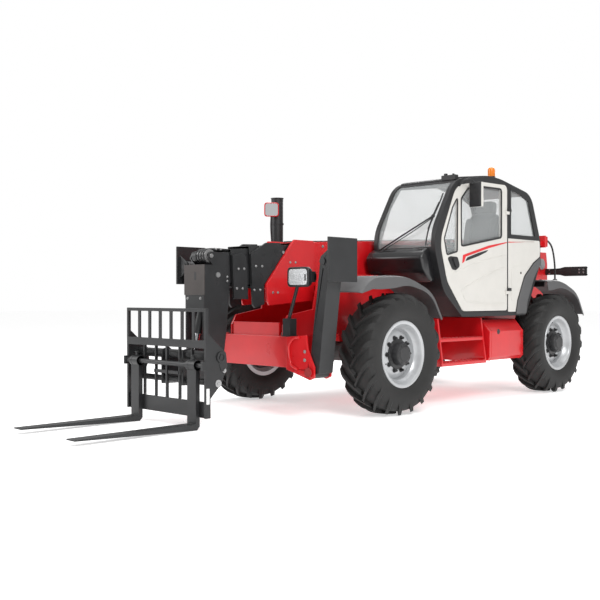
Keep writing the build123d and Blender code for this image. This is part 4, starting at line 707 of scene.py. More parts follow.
HOSE_PATH = [(-1.36, 1.624), (-1.5, 1.626), (-1.6, 1.621), (-1.645, 1.6), (-1.665, 1.56),
             (-1.65, 1.52), (-1.6, 1.495), (-1.52, 1.49)]
ROLLER_HALF = [(0.016, 0.034), (0.016, 0.062), (0.012, 0.0625), (0.008, 0.05)]
ROLLER_FACE = [(-along, r) for along, r in ROLLER_HALF] + ROLLER_HALF[::-1]
rollers = Shape()
hoses = Shape()
sleeves = Shape()
for x in HOSE_PLACES:
    rollers.turned(ROLLER_FACE, at(x, *ROLLER), sides=40)
    hoses.tube(side_view(HOSE_PATH, x), 0.01, sides=12, steps=6)
    for behind, z in ((-1.472, 1.6262), (-1.532, 1.6255)):
        sleeves.stub(at(x, behind, z), (0, 0.024, 0), 0.0125, sides=16)
piece("nose_rollers", rollers, "steel", "nose")
piece("nose_hoses", hoses, "hose", "nose")
piece("nose_hose_sleeves", sleeves, "zinc", "nose")

# Fork carriage: bolts and bushes, blank plate, ribs, and the latches on the forks
CARRIAGE_X = 0.6
LATCH_X = 0.43
LATCH_BEHIND = -2.0425
bolts = Shape()
ribs = Shape()
for side in (1, -1):
    x = side * CARRIAGE_X
    bolts.hexes(side_view([(-1.9, 0.409), (-1.83, 0.52)], x), (side, 0, 0), "carriage")
    bolts.stub(at(x, -1.9, 0.409), (side * 0.005, 0, 0), 0.034, sides=36)
    ribs.turned([(0.0, 0.05), (0.014, 0.048), (0.014, 0.032), (0.0, 0.03)],
                at(x, -1.872, 0.64), side=side, sides=40)
    hook = rounded([(-1.86, 0.5), (-1.8, 0.56), (-1.815, 0.675), (-1.86, 0.7),
                    (-1.9, 0.6)], 0.02)
    ribs.side_plate(hook, side * 0.5995, side * 0.606)
    for rib_x in (side * 0.18, side * 0.36):
        ribs.box((rib_x - 0.009, rib_x + 0.009), (-2.012, -1.985), (0.25, 0.72))
ribs.box((-0.2, 0.2), (-2.012, -1.99), (0.47, 0.5))
piece("carriage_bolts", bolts, "steel", "carriage", bevel=0.001)
blank = Shape().side_plate(rounded(oblong(-2.034, -2.0, 0.235, 0.372), 0.004, 3),
                           CARRIAGE_X + 0.0002, CARRIAGE_X + 0.002)
piece("carriage_blank_plate", blank, "white", "carriage")
piece("carriage_ribs", ribs, "dark", "carriage", bevel=0.002)
for side, tag in SIDES:
    latch = Shape()
    latch.stub(at(side * LATCH_X, LATCH_BEHIND, 0.616), (0, 0, 0.035), 0.012, sides=18)
    latch.stub(at(side * LATCH_X, LATCH_BEHIND, 0.651), (0, 0, 0.008), 0.021, sides=22)
    for x in (-0.0625, 0.0275):
        latch.stub(at(side * LATCH_X + x, LATCH_BEHIND, 0.57), (0.035, 0, 0), 0.0475, sides=40)
    piece("fork_latch_" + tag, latch, "dark", "fork_" + tag, bevel=0.0015)

# Stabilisers: pin caps, guard rail, bolts and hoses on the beam, hinge pins on the feet
LEG_PIN_X = 0.86
LEG_PIN_Z = 0.47
GUARD_RAILS = [
    [(0.6, -1.022, 0.6), (0.6, -1.032, 0.7), (0.66, -1.034, 0.775), (0.74, -1.03, 0.79)],
    [(0.6, -1.022, 0.6), (0.63, -1.03, 0.53), (0.71, -1.026, 0.49)],
]
LEG_HOSES = [
    [(0.5, -0.76, 0.74), (0.62, -0.73, 0.72), (0.72, -0.74, 0.6), (0.78, -0.752, 0.5)],
    [(0.5, -0.76, 0.7), (0.6, -0.72, 0.66), (0.7, -0.73, 0.55), (0.76, -0.75, 0.46)],
]
for side, tag in SIDES:
    caps = Shape()
    for behind, way in ((-1.032, -1), (-0.756, 1)):
        caps.stub(at(side * LEG_PIN_X, behind, LEG_PIN_Z), (0, way * 0.008, 0), 0.044, sides=36)
    piece("leg_pin_caps_" + tag, caps, "worn", bevel=0.0015)
    rail = Shape()
    for path in GUARD_RAILS:
        rail.tube([at(side * x, behind, z) for x, behind, z in path], 0.01)
    piece("beam_guard_rail_" + tag, rail, "red")
    spots = [at(side * 0.8, -1.018, z) for z in (0.66, 0.58)]
    piece("beam_bolts_" + tag, Shape().hexes(spots, (0, -1, 0), "beam"), "zinc", bevel=0.001)
    pins = Shape()
    for behind, way in ((-1.017, -1), (-0.772, 1)):
        pins.stub(at(side * 1.03, behind, 1.5), (0, way * 0.006, 0), 0.032, sides=28)
    piece("foot_pins_" + tag, pins, "dark", "foot_" + tag, bevel=0.001)
    feed = Shape()
    for path in LEG_HOSES:
        feed.tube([at(side * x, behind, z) for x, behind, z in path], 0.011)
    piece("leg_hoses_" + tag, feed, "hose")

# Exhaust stack: its bands, and the mirror beside it on a thin stalk
STACK_RADIUS = 0.0705
STACK_BANDS = [
    (1.771, [(0.0, STACK_RADIUS), (0.0, 0.082), (0.05, 0.082), (0.055, STACK_RADIUS)]),
    (2.02, [(0.0, STACK_RADIUS), (0.0, 0.077), (0.02, 0.077), (0.02, STACK_RADIUS)]),
    (2.325, [(0.0, STACK_RADIUS), (0.0, 0.075), (0.012, 0.076), (0.014, 0.06),
             (-0.03, 0.058), (-0.03, STACK_RADIUS)]),
]
stack = Shape()
for z, profile in STACK_BANDS:
    stack.turned(profile, at(-0.95, 0.3, z), axis="Z", sides=48)
piece("stack_bands", stack, "black")
stalk = Shape()
stalk.tube([at(-0.93, 0.2, 1.765), at(-0.93, 0.19, 1.85), at(-0.92, 0.17, 2.0),
            at(-0.91, 0.168, 2.12), at(-0.905, 0.17, 2.19)], 0.01, sides=12)
stalk.stub(at(-0.93, 0.2, 1.765), (0, 0, 0.025), 0.022, 0.016)
piece("side_mirror_stalk", stalk, "black")
SIDE_MIRROR_AT = at(-0.905, 0.165, 2.19)
SIDE_MIRROR_YAW = Matrix.Rotation(radians(50), 3, "Z")
SIDE_MIRROR_SHELL = [
    (0.055, 0.052, 0.04, 0.02), (0.077, 0.074, 0.03, 0.03), (0.085, 0.082, 0.01, 0.035),
    (0.085, 0.082, -0.008, 0.035), (0.079, 0.076, -0.012, 0.03), (0.076, 0.073, -0.006, 0.028),
]
SIDE_MIRROR_PANE = [(0.075, 0.072, -0.0065, 0.027), (0.073, 0.07, -0.0085, 0.026)]
shell = oblong_loft(SIDE_MIRROR_AT, SIDE_MIRROR_SHELL, SIDE_MIRROR_YAW)
piece("side_mirror_shell", shell, "red")
pane = oblong_loft(SIDE_MIRROR_AT, SIDE_MIRROR_PANE, SIDE_MIRROR_YAW)
piece("side_mirror_pane", pane, "mirror")

# Fenders: thin crowned sheets with a turned-down outer lip
FENDER_PATH = [(-0.68, 1.225), (-0.5, 1.374), (0.05, 1.388), (0.46, 1.238),
               (0.635, 0.96)]
FENDER_INNER_X = 0.722
FENDER_OUTER_X = 1.204
FENDER_SHEET = 0.014
FRONT_START = -1.0
REAR_START = -0.345
LIP = [(-0.68, 0.004), (-0.6, 0.055), (-0.5, 0.1), (-0.4, 0.112), (-0.18, 0.105),
       (0.06, 0.07), (0.3, 0.045), (0.64, 0.03)]


def fender_line(start):
    """Places along the fender and their outward normals, with none ahead of the start."""
    path = [Vector(p) for p in FENDER_PATH]
    inner = [path[0]]
    for a, b, c in zip(path, path[1:], path[2:]):
        reach = min(0.16, 0.45 * (a - b).length, 0.45 * (c - b).length)
        inner += bend(b + (a - b).normalized() * reach, b, b + (c - b).normalized() * reach, 6)
    inner.append(path[-1])
    dense = []
    for a, b in zip(inner, inner[1:]):
        parts = max(1, round((b - a).length / 0.05))
        dense += [a.lerp(b, k / parts) for k in range(parts)]
    dense.append(inner[-1])
    kept = [p for p in dense if p.x >= start]
    ways = [heading(kept, i) for i in range(len(kept))]
    return [(p, Vector((-way.y, way.x))) for p, way in zip(kept, ways)]


def lip_depth(y):
    """How far the outer lip hangs down, by the place behind the axle."""
    for (y0, d0), (y1, d1) in zip(LIP, LIP[1:]):
        if y <= y1:
            return d0 + (d1 - d0) * max(0.0, (y - y0) / (y1 - y0))
    return LIP[-1][1]


def fender(corner, side, axle, start):
    loops = []
    for p, normal in fender_line(start):
        top = [(FENDER_INNER_X, -0.01), (FENDER_INNER_X + 0.03, -0.001), (0.9, 0.0),
               (1.09, -0.001), (1.16, -0.006), (1.192, -0.018),
               (FENDER_OUTER_X, -0.018 - lip_depth(p.x))]
        under = [(x - (FENDER_SHEET * 0.6 if x > 1.15 else 0.0),
                  h - FENDER_SHEET * (0.35 if x > 1.19 else 1.0)) for x, h in reversed(top)]
        places = [(x, p + normal * h) for x, h in top + under]
        loops.append([at(side * x, axle + q.x, q.y) for x, q in places])
    piece("fender_" + corner, Shape().loft(loops), "fender", bevel=0.0015, smooth=50)
    arm = Shape()
    arm.box((side * FRAME_X, side * 0.99), (axle - 0.03, axle + 0.03), (1.352, 1.368))
    arm.box((side * FRAME_X, side * 0.98), (axle - 0.006, axle + 0.006), (1.3, 1.354))
    arm.box((side * 0.3925, side * 0.4), (axle - 0.075, axle + 0.075), (1.285, 1.372))
    arm.hexes([at(side * 0.394, axle + reach, 1.32) for reach in (-0.05, 0.05)],
              (side, 0, 0), "beam")
    arm.hexes([at(side * x, axle, 1.3865) for x in (0.8, 0.93)], (0, 0, 1), "sheet")
    piece("fender_arm_" + corner, arm, "dark", bevel=0.0015)


for corner, side, behind in CORNERS:
    fender(corner, side, behind, REAR_START if behind else FRONT_START)
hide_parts("fenders")

# Cab side: rear quarter panel with its flap and lock, and the arch band
QUARTER_PANEL = rounded([
    (2.062, 1.0), (2.222, 1.0), (2.262, 1.14), (2.412, 1.42), (2.62, 1.585), (2.775, 1.66),
    (2.785, 1.73), (2.77, 1.852), (2.062, 1.852),
], [0.012, 0.01, 0.08, 0.15, 0.08, 0.03, 0.04, 0.02, 0.012])
FLAP = rounded([
    (2.13, 1.135), (2.225, 1.135), (2.315, 1.3), (2.42, 1.455), (2.475, 1.56),
    (2.13, 1.51),
], 0.022)
FLAP_LOCK = (2.335, 1.455)
ARCH_BAND = rounded([
    (2.228, 0.975), (2.452, 0.975), (2.478, 1.12), (2.64, 1.42), (2.795, 1.585), (2.79, 1.655),
    (2.63, 1.578), (2.42, 1.412), (2.27, 1.135),
], [0.01, 0.02, 0.12, 0.2, 0.03, 0.03, 0.1, 0.2, 0.1])
quarter = Shape().side_plate(QUARTER_PANEL, CAB_X, CAB_X + 0.0035)
quarter.side_plate(FLAP, CAB_X + 0.003, CAB_X + 0.0065)
piece("cab_quarter_panel", quarter, "panel", bevel=0.0014)
lock = Shape().stub(at(CAB_X + 0.006, *FLAP_LOCK), (0.003, 0, 0), 0.014, sides=28)
lock.stub(at(CAB_X + 0.008, *FLAP_LOCK), (0.0025, 0, 0), 0.008)
piece("cab_flap_lock", lock, "black", bevel=0.0008)
band = Shape().side_plate(ARCH_BAND, CAB_X, CAB_X + 0.014)
piece("cab_arch_band", band, "fender", bevel=0.004)

# Window seals: body, width, corner radius and the pane's outline
SEALS = {
    "door_window": ("door", 0.016, 0.05, [
        (1.115, 1.715), (1.11, 2.24), (1.24, 2.365), (1.5, 2.408), (1.93, 2.415),
        (1.93, 1.85)]),
    "quarter_window": ("door", 0.012, 0.03, [
        (0.85, 1.615), (0.8, 1.79), (0.95, 2.13), (1.055, 2.27), (1.05, 1.66)]),
    "rear_side": ("chassis", 0.016, 0.03, [
        (2.11, 1.885), (2.11, 2.43), (2.33, 2.395), (2.525, 2.32), (2.69, 1.885)]),
}
for name, (body, width, corner, pane) in SEALS.items():
    seal = Shape().side_ring(rounded(pane, corner, 8), 0.004, -width, CAB_X - 0.004,
                             CAB_X + 0.003)
    piece("seal_" + name, seal, "black", body, bevel=0.001)

# Stripes: look, body, the skin they lie on, corner radius, steps of a corner and outline
DOOR_SKIN = CAB_X + 0.0004
PANEL_SKIN = CAB_X + 0.0034
STRIPE_THICK = 0.0008
STRIPES = {
    "door_stripe_red": ("stripe", "door", DOOR_SKIN, 0.006, 3, [
        (1.135, 1.535), (1.15, 1.628), (1.66, 1.752), (2.035, 1.808), (2.035, 1.797),
        (1.66, 1.722), (1.205, 1.612), (1.175, 1.555)]),
    "quarter_stripe_red": ("stripe", "chassis", PANEL_SKIN, 0.002, 2, [
        (2.062, 1.801), (2.64, 1.838), (2.64, 1.834), (2.062, 1.812)]),
    "door_stripe_black": ("black", "door", DOOR_SKIN, 0.006, 3, [
        (1.19, 1.56), (1.235, 1.605), (1.45, 1.662), (1.66, 1.705), (1.6, 1.672),
        (1.45, 1.625)]),
}
for name, (look, body, skin, corner, steps, points) in STRIPES.items():
    stripe = Shape().side_plate(rounded(points, corner, steps), skin, skin + STRIPE_THICK)
    piece(name, stripe, look, body)

# Door: raised creases and the handle in its cup
UPPER_CREASE = [(0.845, 1.52), (1.01, 1.435), (1.2, 1.5), (1.66, 1.6), (2.035, 1.66)]
LOWER_CREASE = rounded([
    (1.12, 1.245), (1.215, 1.125), (1.66, 1.1), (2.01, 1.1), (2.01, 1.52), (1.66, 1.43),
], [0.03, 0.06, 0.3, 0.03, 0.03, 0.4], 10)
creases = Shape().tube(side_view(UPPER_CREASE, CAB_X - 0.0025), 0.0065, steps=10)
creases.side_ring(LOWER_CREASE, 0.01, -0.004, CAB_X - 0.003, CAB_X + 0.0035)
piece("door_creases", creases, "panel", "door", bevel=0.0025, smooth=50)

cup = rounded([(0.868, 1.585), (0.915, 1.603), (1.045, 1.6), (1.088, 1.505), (1.01, 1.462),
               (0.95, 1.472)], 0.035)
grip = rounded([(0.945, 1.59), (1.03, 1.59), (1.062, 1.515), (1.01, 1.485)], 0.018)
handle = Shape()
handle.side_ring(cup, 0.004, -0.012, CAB_X - 0.002, CAB_X + 0.004)
handle.side_plate(grown(cup, -0.008), CAB_X - 0.002, CAB_X + 0.0008)
handle.side_plate(grip, CAB_X, CAB_X + 0.013)
handle.stub(at(CAB_X, 0.925, 1.535), (0.006, 0, 0), 0.016, sides=28)
piece("door_handle", handle, "black", "door", bevel=0.002)

# Beacon: base and ribbed dome
BEACON_AT = at(0.94, 1.93, 2.545)
DOME_RADIUS = 0.042
beacon = Shape()
for profile in ([(0.0, 0.046), (0.02, 0.046), (0.026, 0.04), (0.026, 0.0), (0.0, 0.0)],
                [(-0.02, 0.03), (0.0, 0.03), (0.0, 0.05), (0.006, 0.05), (0.006, 0.0),
                 (-0.02, 0.0)]):
    beacon.turned(profile, BEACON_AT, axis="Z", sides=40, closed=False)
piece("beacon_base", beacon, "black")
dome = Shape()
profile = [(0.024, DOME_RADIUS)]
for k in range(9):
    a = pi / 2 * k / 8
    profile.append((0.095 + 0.038 * sin(a), DOME_RADIUS * cos(a)))
dome.turned(profile, BEACON_AT, axis="Z", sides=48, closed=False)
for k in range(5):
    z = 0.035 + 0.013 * k
    dome.turned([(z, 0.0415), (z + 0.004, 0.0435), (z + 0.008, 0.0415)], BEACON_AT, axis="Z",
                sides=48, closed=False)
piece("beacon_dome", dome, "orange", smooth=60)
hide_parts("cab_fittings")

# Wiper: arm, washer tube and blade on the windscreen
wiper = Shape()
pivot = at(0.275, 0.645, 1.655)
knee = at(0.745, 0.6192, 1.87)
tip = at(1.0, 0.717, 2.03)
wiper.rod(pivot + Vector((0, 0.03, -0.03)), pivot + Vector((0, -0.018, 0)), 0.024, 0.018)
pivot += Vector((0, -0.018, 0))
wiper.tube([pivot, knee, tip], 0.0085)
wiper.tube([pivot + Vector((0.03, 0.0, -0.012)), knee + Vector((0.02, 0, -0.02)),
            tip + Vector((-0.01, 0, -0.02))], 0.0055, sides=8)
wiper.stub(tip + Vector((0, -0.012, 0)), (0, 0.024, 0), 0.016, sides=18)
blade = [at(0.985, 0.61, 1.715), at(0.995, 0.65, 1.88), at(1.0, 0.735, 2.03),
         at(1.0, 0.842, 2.18), at(0.995, 0.91, 2.285)]
wiper.tube([p + Vector((0, -0.008, 0)) for p in blade], 0.0075, sides=8)
wiper.tube([p + Vector((0, -0.02, 0.004)) for p in blade[1:4]], 0.006, sides=8)
piece("wiper", wiper, "black")

# Roof clamp, and the door mirror on its bent arm
clamp = Shape()
clamp.box((0.86, 1.045), (1.055, 1.115), (2.445, 2.5))
clamp.stub(at(0.9, 1.085, 2.5), (0, 0, 0.022), 0.02)
clamp.stub(at(1.0, 1.085, 2.5), (0, 0, 0.015), 0.014, sides=6)
piece("roof_clamp", clamp, "black", bevel=0.004)
hanger = Shape()
hanger.tube([at(1.07, 1.085, 2.385), at(1.1, 1.09, 2.412), at(1.145, 1.12, 2.44),
             at(1.18, 1.18, 2.435), at(1.19, 1.222, 2.38), at(1.19, 1.226, 2.31)], 0.0085,
            sides=12)
hanger.stub(at(1.19, 1.212, 2.305), (0, 0.02, 0), 0.03, 0.034, sides=28)
hanger.stub(at(1.06, 1.085, 2.385), (0.024, 0, 0), 0.018)
piece("door_mirror_arm", hanger, "black", "door", bevel=0.0015)
DOOR_MIRROR_AT = at(1.186, 0.0, 2.2825)
DOOR_MIRROR_BACK = [(0.054, 0.1105, 1.216, 0.03), (0.07, 0.1265, 1.22, 0.03),
                    (0.076, 0.1325, 1.229, 0.001)]
DOOR_MIRROR_PANE = [(0.066, 0.1225, 1.2702, 0.02), (0.064, 0.1205, 1.2712, 0.02)]
piece("door_mirror_back", oblong_loft(DOOR_MIRROR_AT, DOOR_MIRROR_BACK), "black", "door")
piece("door_mirror_pane", oblong_loft(DOOR_MIRROR_AT, DOOR_MIRROR_PANE), "mirror", "door")

# Dash cowl with rounded edges, and its vents
loop = rounded([(0.513, 1.59), (0.56, 1.652), (0.64, 1.692), (0.735, 1.692), (0.79, 1.33),
                (0.7, 1.33), (0.56, 1.44)], [0.05, 0.06, 0.06, 0.02, 0.02, 0.06, 0.12], 8)
COWL_STATIONS = ((0.262, -0.022), (0.25, -0.008), (0.2455, 0.0), (0.96, 0.0), (0.985, -0.008),
                 (0.998, -0.03))
cowl = Shape().loft([side_view(grown(loop, offset), x) for x, offset in COWL_STATIONS])
piece("dash_cowl_moulding", cowl, "gloss", replaces=["dash_cowl"],
      smooth=50)
vents = Shape()
for x in (0.36, 0.52, 0.88):
    for k in range(5):
        vents.stub(at(x, 0.592 + 0.016 * k, 1.671 + 0.005 * k), (0.07, 0, 0), 0.004, sides=8)
piece("dash_vents", vents, "hub")

# Seat: cushions of place, half sizes and lean; then its bellows, armrests and headrest posts
SEAT_X = 0.71
CUSHIONS = [
    (0.0, 1.87, 1.6, (0.235, 0.255, 0.07), -3), (0.195, 1.86, 1.635, (0.05, 0.235, 0.052), -3),
    (0.0, 2.115, 1.905, (0.205, 0.062, 0.27), -9),
    (0.175, 2.085, 1.885, (0.048, 0.065, 0.23), -9),
    (0.0, 2.175, 2.225, (0.13, 0.048, 0.085), -9),
]
seat = Shape()
for across, behind, z, half, lean in CUSHIONS:
    for x in {SEAT_X + across, SEAT_X - across}:
        seat.pad(at(x, behind, z), half, lean)
piece("seat_cushions", seat, "seat", replaces=["seat"], smooth=60)
base = Shape()
base.box((0.59, 0.83), (1.75, 2.05), (0.9965, 1.1))
for k in range(6):
    z = 1.1 + 0.07 * k
    inset = 0.012 if k % 2 else 0.0
    base.box((0.6 + inset, 0.82 - inset), (1.76 + inset, 2.04 - inset), (z, z + 0.07))
base.box((0.55, 0.87), (1.7, 2.08), (1.515, 1.545))
for side in (1, -1):
    arm_x = SEAT_X + side * 0.245
    base.rod(at(arm_x, 2.07, 1.6), at(arm_x, 2.1, 1.78), 0.016)
    base.pad(at(SEAT_X + side * 0.255, 1.95, 1.8), (0.032, 0.165, 0.022))
    post_x = SEAT_X + side * 0.04
    base.rod(at(post_x, 2.16, 2.12), at(post_x, 2.172, 2.2), 0.008, sides=12)
piece("seat_base", base, "black", bevel=0.003)

# Console with its lever, pedals, and the roof guard's rails
console = Shape()
loop = [(1.55, 1.385), (2.25, 1.385), (2.25, 1.6), (2.0, 1.68), (1.62, 1.7), (1.55, 1.66)]
console.side_plate(rounded(loop, 0.03), 0.3, 0.43)
console.rod(at(0.365, 1.7, 1.69), at(0.365, 1.685, 1.8), 0.01, sides=14)
console.pad(at(0.365, 1.682, 1.83), (0.02, 0.024, 0.042), power=0.8)
console.stub(at(0.365, 1.7, 1.685), (0, 0, 0.025), 0.032, 0.02, sides=24)
for x in (0.62, 0.78):
    console.box((x - 0.035, x + 0.035), (1.085, 1.1), (1.1, 1.21))
    console.rod(at(x, 1.09, 1.16), at(x, 1.05, 1.33), 0.008, sides=10)
piece("cab_console", console, "black", bevel=0.004)
rails = Shape()
for x in (0.46, 0.58, 0.7, 0.82):
    rails.tube([at(x, 1.165, 2.452), at(x, 1.4, 2.482), at(x, 1.65, 2.492),
                at(x, 1.885, 2.492)], 0.007, steps=4)
piece("cab_roof_guard", rails, "black")

# Steering wheel with spokes and a knob, on its column; instrument pod
STEERING_RADIUS = 0.176
STEERING_THICK = 0.0135
hub_at = at(0.7, 1.29, 1.74)
tilt = Vector((0, 0.11, 0.64)).to_track_quat("Z", "Y")
axis = tilt @ Vector((0, 0, 1))
wheel = Shape()
rows = []
for a in turns(48):
    out = tilt @ Vector((cos(a), sin(a), 0))
    rows.append([hub_at + out * (STEERING_RADIUS + STEERING_THICK * cos(b))
                 + axis * STEERING_THICK * sin(b) for b in turns(12)])
wheel.grid(rows, rows_joined=True)
for a in turns(3):
    wheel.stub(hub_at, tilt @ Vector((cos(a), sin(a), 0)) * 0.172, 0.016, 0.01, sides=12)
wheel.stub(hub_at - axis * 0.03, axis * 0.048, 0.045, 0.036, sides=32)
wheel.stub(hub_at + tilt @ Vector((-0.15, 0.09, 0.0)), axis * 0.045, 0.018, 0.022)
wheel.rod(at(0.7, 1.24, 1.055), hub_at - axis * 0.02, 0.034, sides=24)
wheel.box((0.56, 0.84), (1.2, 1.32), (0.9965, 1.15))
piece("steering_wheel_and_column", wheel, "black", bevel=0.0015, replaces=["steering_wheel"])
loop = [(1.14, 1.42), (1.215, 1.42), (1.235, 1.56), (1.2, 1.66), (1.12, 1.7), (1.09, 1.66)]
pod = Shape().side_plate(rounded(loop, 0.03), 0.585, 0.815)
piece("instrument_pod", pod, "black", bevel=0.006)

# Steps: toothed tread edges, grip rings, holes drawn as thin dark discs of painted shade, and
# bolts
TREAD_Z = 0.0198
treads = Shape()
for low, outer in ((0.44, 1.06), (0.7, 1.03)):
    for k in range(34):
        y = 0.8 + 0.0248 * k
        treads.side_plate([(y, low + TREAD_Z), (y + 0.012, low + 0.03),
                           (y + 0.024, low + TREAD_Z)], outer - 0.012, outer - 0.001)
    for row in range(3):
        for k in range(12):
            spot = at(0.85 + 0.06 * row, 0.86 + 0.066 * k, low + TREAD_Z)
            treads.turned([(0.0, 0.017), (0.005, 0.015), (0.005, 0.01), (0.0, 0.009)], spot,
                          axis="Z", sides=16)
piece("step_treads", treads, "red", bevel=0.0006)
STEP_BACK_X = 0.4176
# Holes in the step plates: thin dark discs, painted shade in place of the openings
hole_shade = Shape()
for y in (0.86, 1.26, 1.55):
    hole_shade.stub(at(STEP_BACK_X, y, 0.86), (0.001, 0, 0), 0.014)
for y in (0.804, 1.655):
    for z in (0.56, 0.64, 0.8):
        hole_shade.stub(at(0.86, y - 0.0155, z), (0, -0.001, 0), 0.008, sides=16)
piece("step_hole_shade", hole_shade, "hub")
fixings = Shape()
fixings.hexes([at(STEP_BACK_X, y, z) for y in (0.9, 1.22, 1.52) for z in (0.6, 0.9)],
              (1, 0, 0), "panel")
fixings.hexes([at(0.92, 1.639, z) for z in (0.84, 0.56)], (0, -1, 0), "panel")
piece("step_bolts", fixings, "zinc", bevel=0.0008)

# Side tank: its recess drawn as a flush dark disc of painted shade, and straps
recess_shade = Shape().stub(at(CAB_X, 1.86, 0.775), (0.0035, 0, 0), 0.03, 0.027, sides=32)
piece("tank_recess_shade", recess_shade, "hub")
STRAP = [(0.43, 0.447), (1.052, 0.447), (1.0826, 0.489), (1.0826, 0.781), (0.9715, 0.913),
         (0.43, 0.913)]
straps = Shape()
for y in (1.72, 2.36):
    straps.prism(front_view(STRAP, y), (0, 0.012, 0))
piece("tank_straps", straps, "red", bevel=0.0015)

# Engine hood and cowl: louvres, side grille in its frame, latches and crease
COWL_SKIN = -1.1295
louvres = Shape()
for k in range(15):
    y = 0.72 + 0.055 * k
    louvres.side_plate([(y, 1.7705), (y + 0.03, 1.7705), (y + 0.022, 1.78), (y + 0.004, 1.774)],
                       -0.56, -1.0)
piece("hood_louvres", louvres, "hub", "hood")
grille = Shape()
for k in range(16):
    z = 0.8 + 0.034 * k
    bar = [(-1.1305, z), (-1.1305, z + 0.018), (-1.139, z + 0.004)]
    grille.prism(front_view(bar, 1.0), (0, 0.95, 0))
piece("cowl_grille", grille, "hub")
surround = Shape().side_ring(rounded(oblong(0.96, 1.99, 0.765, 1.365), 0.03), 0.012, -0.014,
                             COWL_SKIN, -1.141)
piece("cowl_grille_frame", surround, "dark", bevel=0.002)
latch = Shape()
for y in (0.8, 1.55, 2.3):
    latch.box((-1.139, COWL_SKIN), (y - 0.03, y + 0.03), (1.572, 1.64))
    latch.stub(at(-1.139, y, 1.605), (-0.008, 0, 0), 0.016, sides=24)
piece("hood_latches", latch, "black", "hood", bevel=0.002)
loop = rounded([(0.8, 1.4), (2.28, 1.4), (2.38, 1.53), (0.62, 1.53)], 0.02)
piece("cowl_crease", Shape().side_ring(loop, 0.004, -0.006, COWL_SKIN, -1.1325), "dark",
      bevel=0.001)

# Chassis: caps of the boom's pivot, and bolts along the side plates
FRAME_BOLTS = [(-0.3, 1.33), (-0.22, 1.33), (0.3, 0.7), (0.38, 0.7), (0.3, 0.6),
               (2.75, 0.7), (2.7, 0.6), (3.55, 0.8), (3.63, 0.8), (3.72, 1.1), (3.72, 1.2)]
caps = Shape()
bolts = Shape()
for side in (1, -1):
    face = at(side * 0.417, PIVOT_BEHIND, PIVOT_Z)
    ledge = at(side * 0.425, PIVOT_BEHIND, PIVOT_Z)
    caps.stub(face, (side * 0.01, 0, 0), 0.075, sides=48)
    caps.stub(ledge, (side * 0.008, 0, 0), 0.046, sides=40)
    caps.hexes([ledge + round_x(0, 0.06, a) for a in (0.5, 2.6, 4.7)], (side, 0, 0), "light",
               washer=False)
    bolts.hexes(side_view(FRAME_BOLTS, side * 0.392), (side, 0, 0), "frame")
piece("boom_pivot_caps", caps, "steel", bevel=0.0015)
piece("chassis_bolts", bolts, "zinc", bevel=0.001)

# Tail: ribs and bolts of the rear plate, handrail, and the lens behind the cab
TAIL_PLATE = 4.16
ribs = Shape()
for x in (-0.2, 0.2):
    ribs.box((x - 0.01, x + 0.01), (TAIL_PLATE, TAIL_PLATE + 0.026), (0.68, 1.22))
ribs.box((-0.36, 0.36), (TAIL_PLATE, TAIL_PLATE + 0.018), (1.215, 1.245))
piece("tail_plate_ribs", ribs, "red", bevel=0.003)
spots = [at(x, TAIL_PLATE + 0.005, z) for x in (-0.33, 0.33) for z in (0.72, 0.86, 1.0, 1.14)]
piece("tail_bolts", Shape().hexes(spots, (0, 1, 0), "beam"), "zinc", bevel=0.001)
rail = Shape()
rail.tube([at(1.0, 3.3, 1.392), at(1.005, 3.28, 1.6), at(1.01, 3.2, 1.8),
           at(1.01, 3.06, 1.88), at(1.01, 2.94, 1.86)], 0.011, sides=12)
rail.stub(at(1.0, 3.3, 1.386), (0, 0, 0.012), 0.03, 0.024)
piece("tail_handrail", rail, "black")
flat = rounded(oblong(0.962, 1.062, 1.79, 1.92), 0.012)
lamp = Shape().loft([front_view(flat, 2.955), front_view(flat, 3.005),
                     front_view(grown(flat, -0.01), 3.012)])
piece("rear_side_lens", lamp, "redlens")
holder = Shape()
holder.box((0.955, 1.069), (2.925, 2.957), (1.782, 1.928))
holder.box((1.0, 1.03), (2.79, 2.93), (1.8, 1.86))
piece("rear_lens_holder", holder, "red", bevel=0.003)

# Outer boom: wear-pad bolts, and the hoses along its top in their saddles
bolts = Shape()
for side in (1, -1):
    spots = [boom_at(side * 0.18, ahead, z) for ahead in (0.1, -0.9, -1.9) for z in (-0.06, 0.3)]
    bolts.hexes(spots, (side, 0, 0), "pad")
piece("boom_pad_bolts", bolts, "zinc", "boom", bevel=0.001)
hoses = Shape()
for x in (-0.1, -0.14):
    hoses.tube([boom_at(x, 0.35, 0.362), boom_at(x, -1.0, 0.3625), boom_at(x, -2.4, 0.362),
                boom_at(x, -3.7, 0.3615)], 0.0105, steps=4)
piece("boom_hoses", hoses, "hose", "boom")
saddles = Shape()
for ahead in (0.2, -0.5, -1.2, -1.9, -2.6, -3.3):
    foot = boom_at(0.0, ahead, 0.352)
    behind = foot.y - AXLE_Y
    saddles.box((-0.165, -0.075), (behind - 0.015, behind + 0.015), (foot.z, foot.z + 0.024))
piece("boom_hose_saddles", saddles, "black", "boom", bevel=0.002)

# Axles: bolts round the differential, and the steering cylinder
AXLE_Z = 0.605
STEERING_Z = 0.6
for tag, behind in AXLES:
    gear = Shape()
    for angle in turns(10):
        for way in (1, -1):
            spot = at(way * 0.115, behind, AXLE_Z) + round_x(0, 0.155, angle)
            gear.stub(spot, (way * 0.012, 0, 0), 0.009, sides=6)
    gear.stub(at(-0.09, behind, AXLE_Z), (0.18, 0, 0), 0.1756, sides=64)
    gear.stub(at(-0.3, behind + 0.17, STEERING_Z), (0.6, 0, 0), 0.036, sides=28)
    gear.stub(at(-0.48, behind + 0.17, STEERING_Z), (0.96, 0, 0), 0.016)
    for x in (-0.16, 0.16):
        gear.box((x - 0.02, x + 0.02), (behind + 0.07, behind + 0.17),
                 (STEERING_Z - 0.025, STEERING_Z + 0.025))
    piece("axle_steering_" + tag, gear, "iron", bevel=0.002)

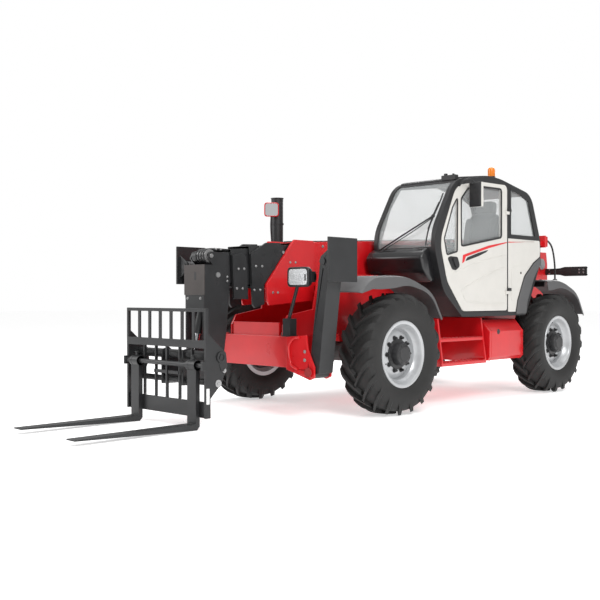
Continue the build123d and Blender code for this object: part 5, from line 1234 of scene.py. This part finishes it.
# Floor
floor_look, _, floor_shader = node_material("floor_white")
set_inputs(floor_shader, Base_Color=(0.86, 0.86, 0.86, 1), Roughness=0.9,
           Emission_Color=(1, 1, 1, 1), Emission_Strength=0.5)
FLOOR = 60.0
floor_mesh = bpy.data.meshes.new("floor")
corners = oblong(-FLOOR, FLOOR, -FLOOR, FLOOR)
floor_mesh.from_pydata([(x, y, 0) for x, y in corners], [], [(0, 1, 2, 3)])
floor_mesh.materials.append(floor_look)
floor = bpy.data.objects.new("floor", floor_mesh)
scene.collection.objects.link(floor)

# World: white where the camera sees it, also through glass, and dimmer as a light
world = bpy.data.worlds.new("studio")
scene.world = world
world.use_nodes = True
tree = world.node_tree
background = tree.nodes["Background"]
set_inputs(background, Color=(1, 1, 1, 1))
ray = add_node(tree, "LightPath")
seen = add_node(tree, "Math")
seen.operation = "MAXIMUM"
tree.links.new(ray.outputs["Is Camera Ray"], seen.inputs[0])
tree.links.new(ray.outputs["Is Transmission Ray"], seen.inputs[1])
strength = add_node(tree, "MapRange", To_Min=0.55, To_Max=1.0)
tree.links.new(seen.outputs["Value"], strength.inputs["Value"])
tree.links.new(strength.outputs["Result"], background.inputs["Strength"])


# Lamps
def aim(made, place, direction):
    """Place a lamp or camera so that it looks along a direction."""
    scene.collection.objects.link(made)
    made.location = place
    made.rotation_mode = "QUATERNION"
    made.rotation_quaternion = direction.to_track_quat("-Z", "Y")


def area_lamp(name, place, target, size, power):
    data = bpy.data.lights.new(name, "AREA")
    data.shape = "RECTANGLE"
    data.size = size
    data.size_y = size
    data.energy = power
    aim(bpy.data.objects.new(name, data), place, Vector(target) - Vector(place))


area_lamp("key", (9, -5, 8.5), (0, 0, 1), 5.0, 900)
area_lamp("fill", (-7, -8, 6), (0, 0, 1), 6.0, 420)
area_lamp("top", (0, 1, 10), (0, 0, 0), 7.0, 420)
area_lamp("back", (-4, 9, 6), (0, 0, 1), 5.0, 350)

# Camera at the photograph's place, direction and focal length
YAW = radians(44.8)
PITCH = radians(-0.194)
CAMERA_AT = at(6.571, -6.892, 1.171)
camera_data = bpy.data.cameras.new("photo_camera")
camera_data.sensor_width = 36.0
camera_data.lens = 52.858
camera = bpy.data.objects.new("photo_camera", camera_data)
aim(camera, CAMERA_AT,
    Vector((-sin(YAW) * cos(PITCH), cos(YAW) * cos(PITCH), sin(PITCH))))
scene.camera = camera
scene.view_settings.view_transform = "Standard"
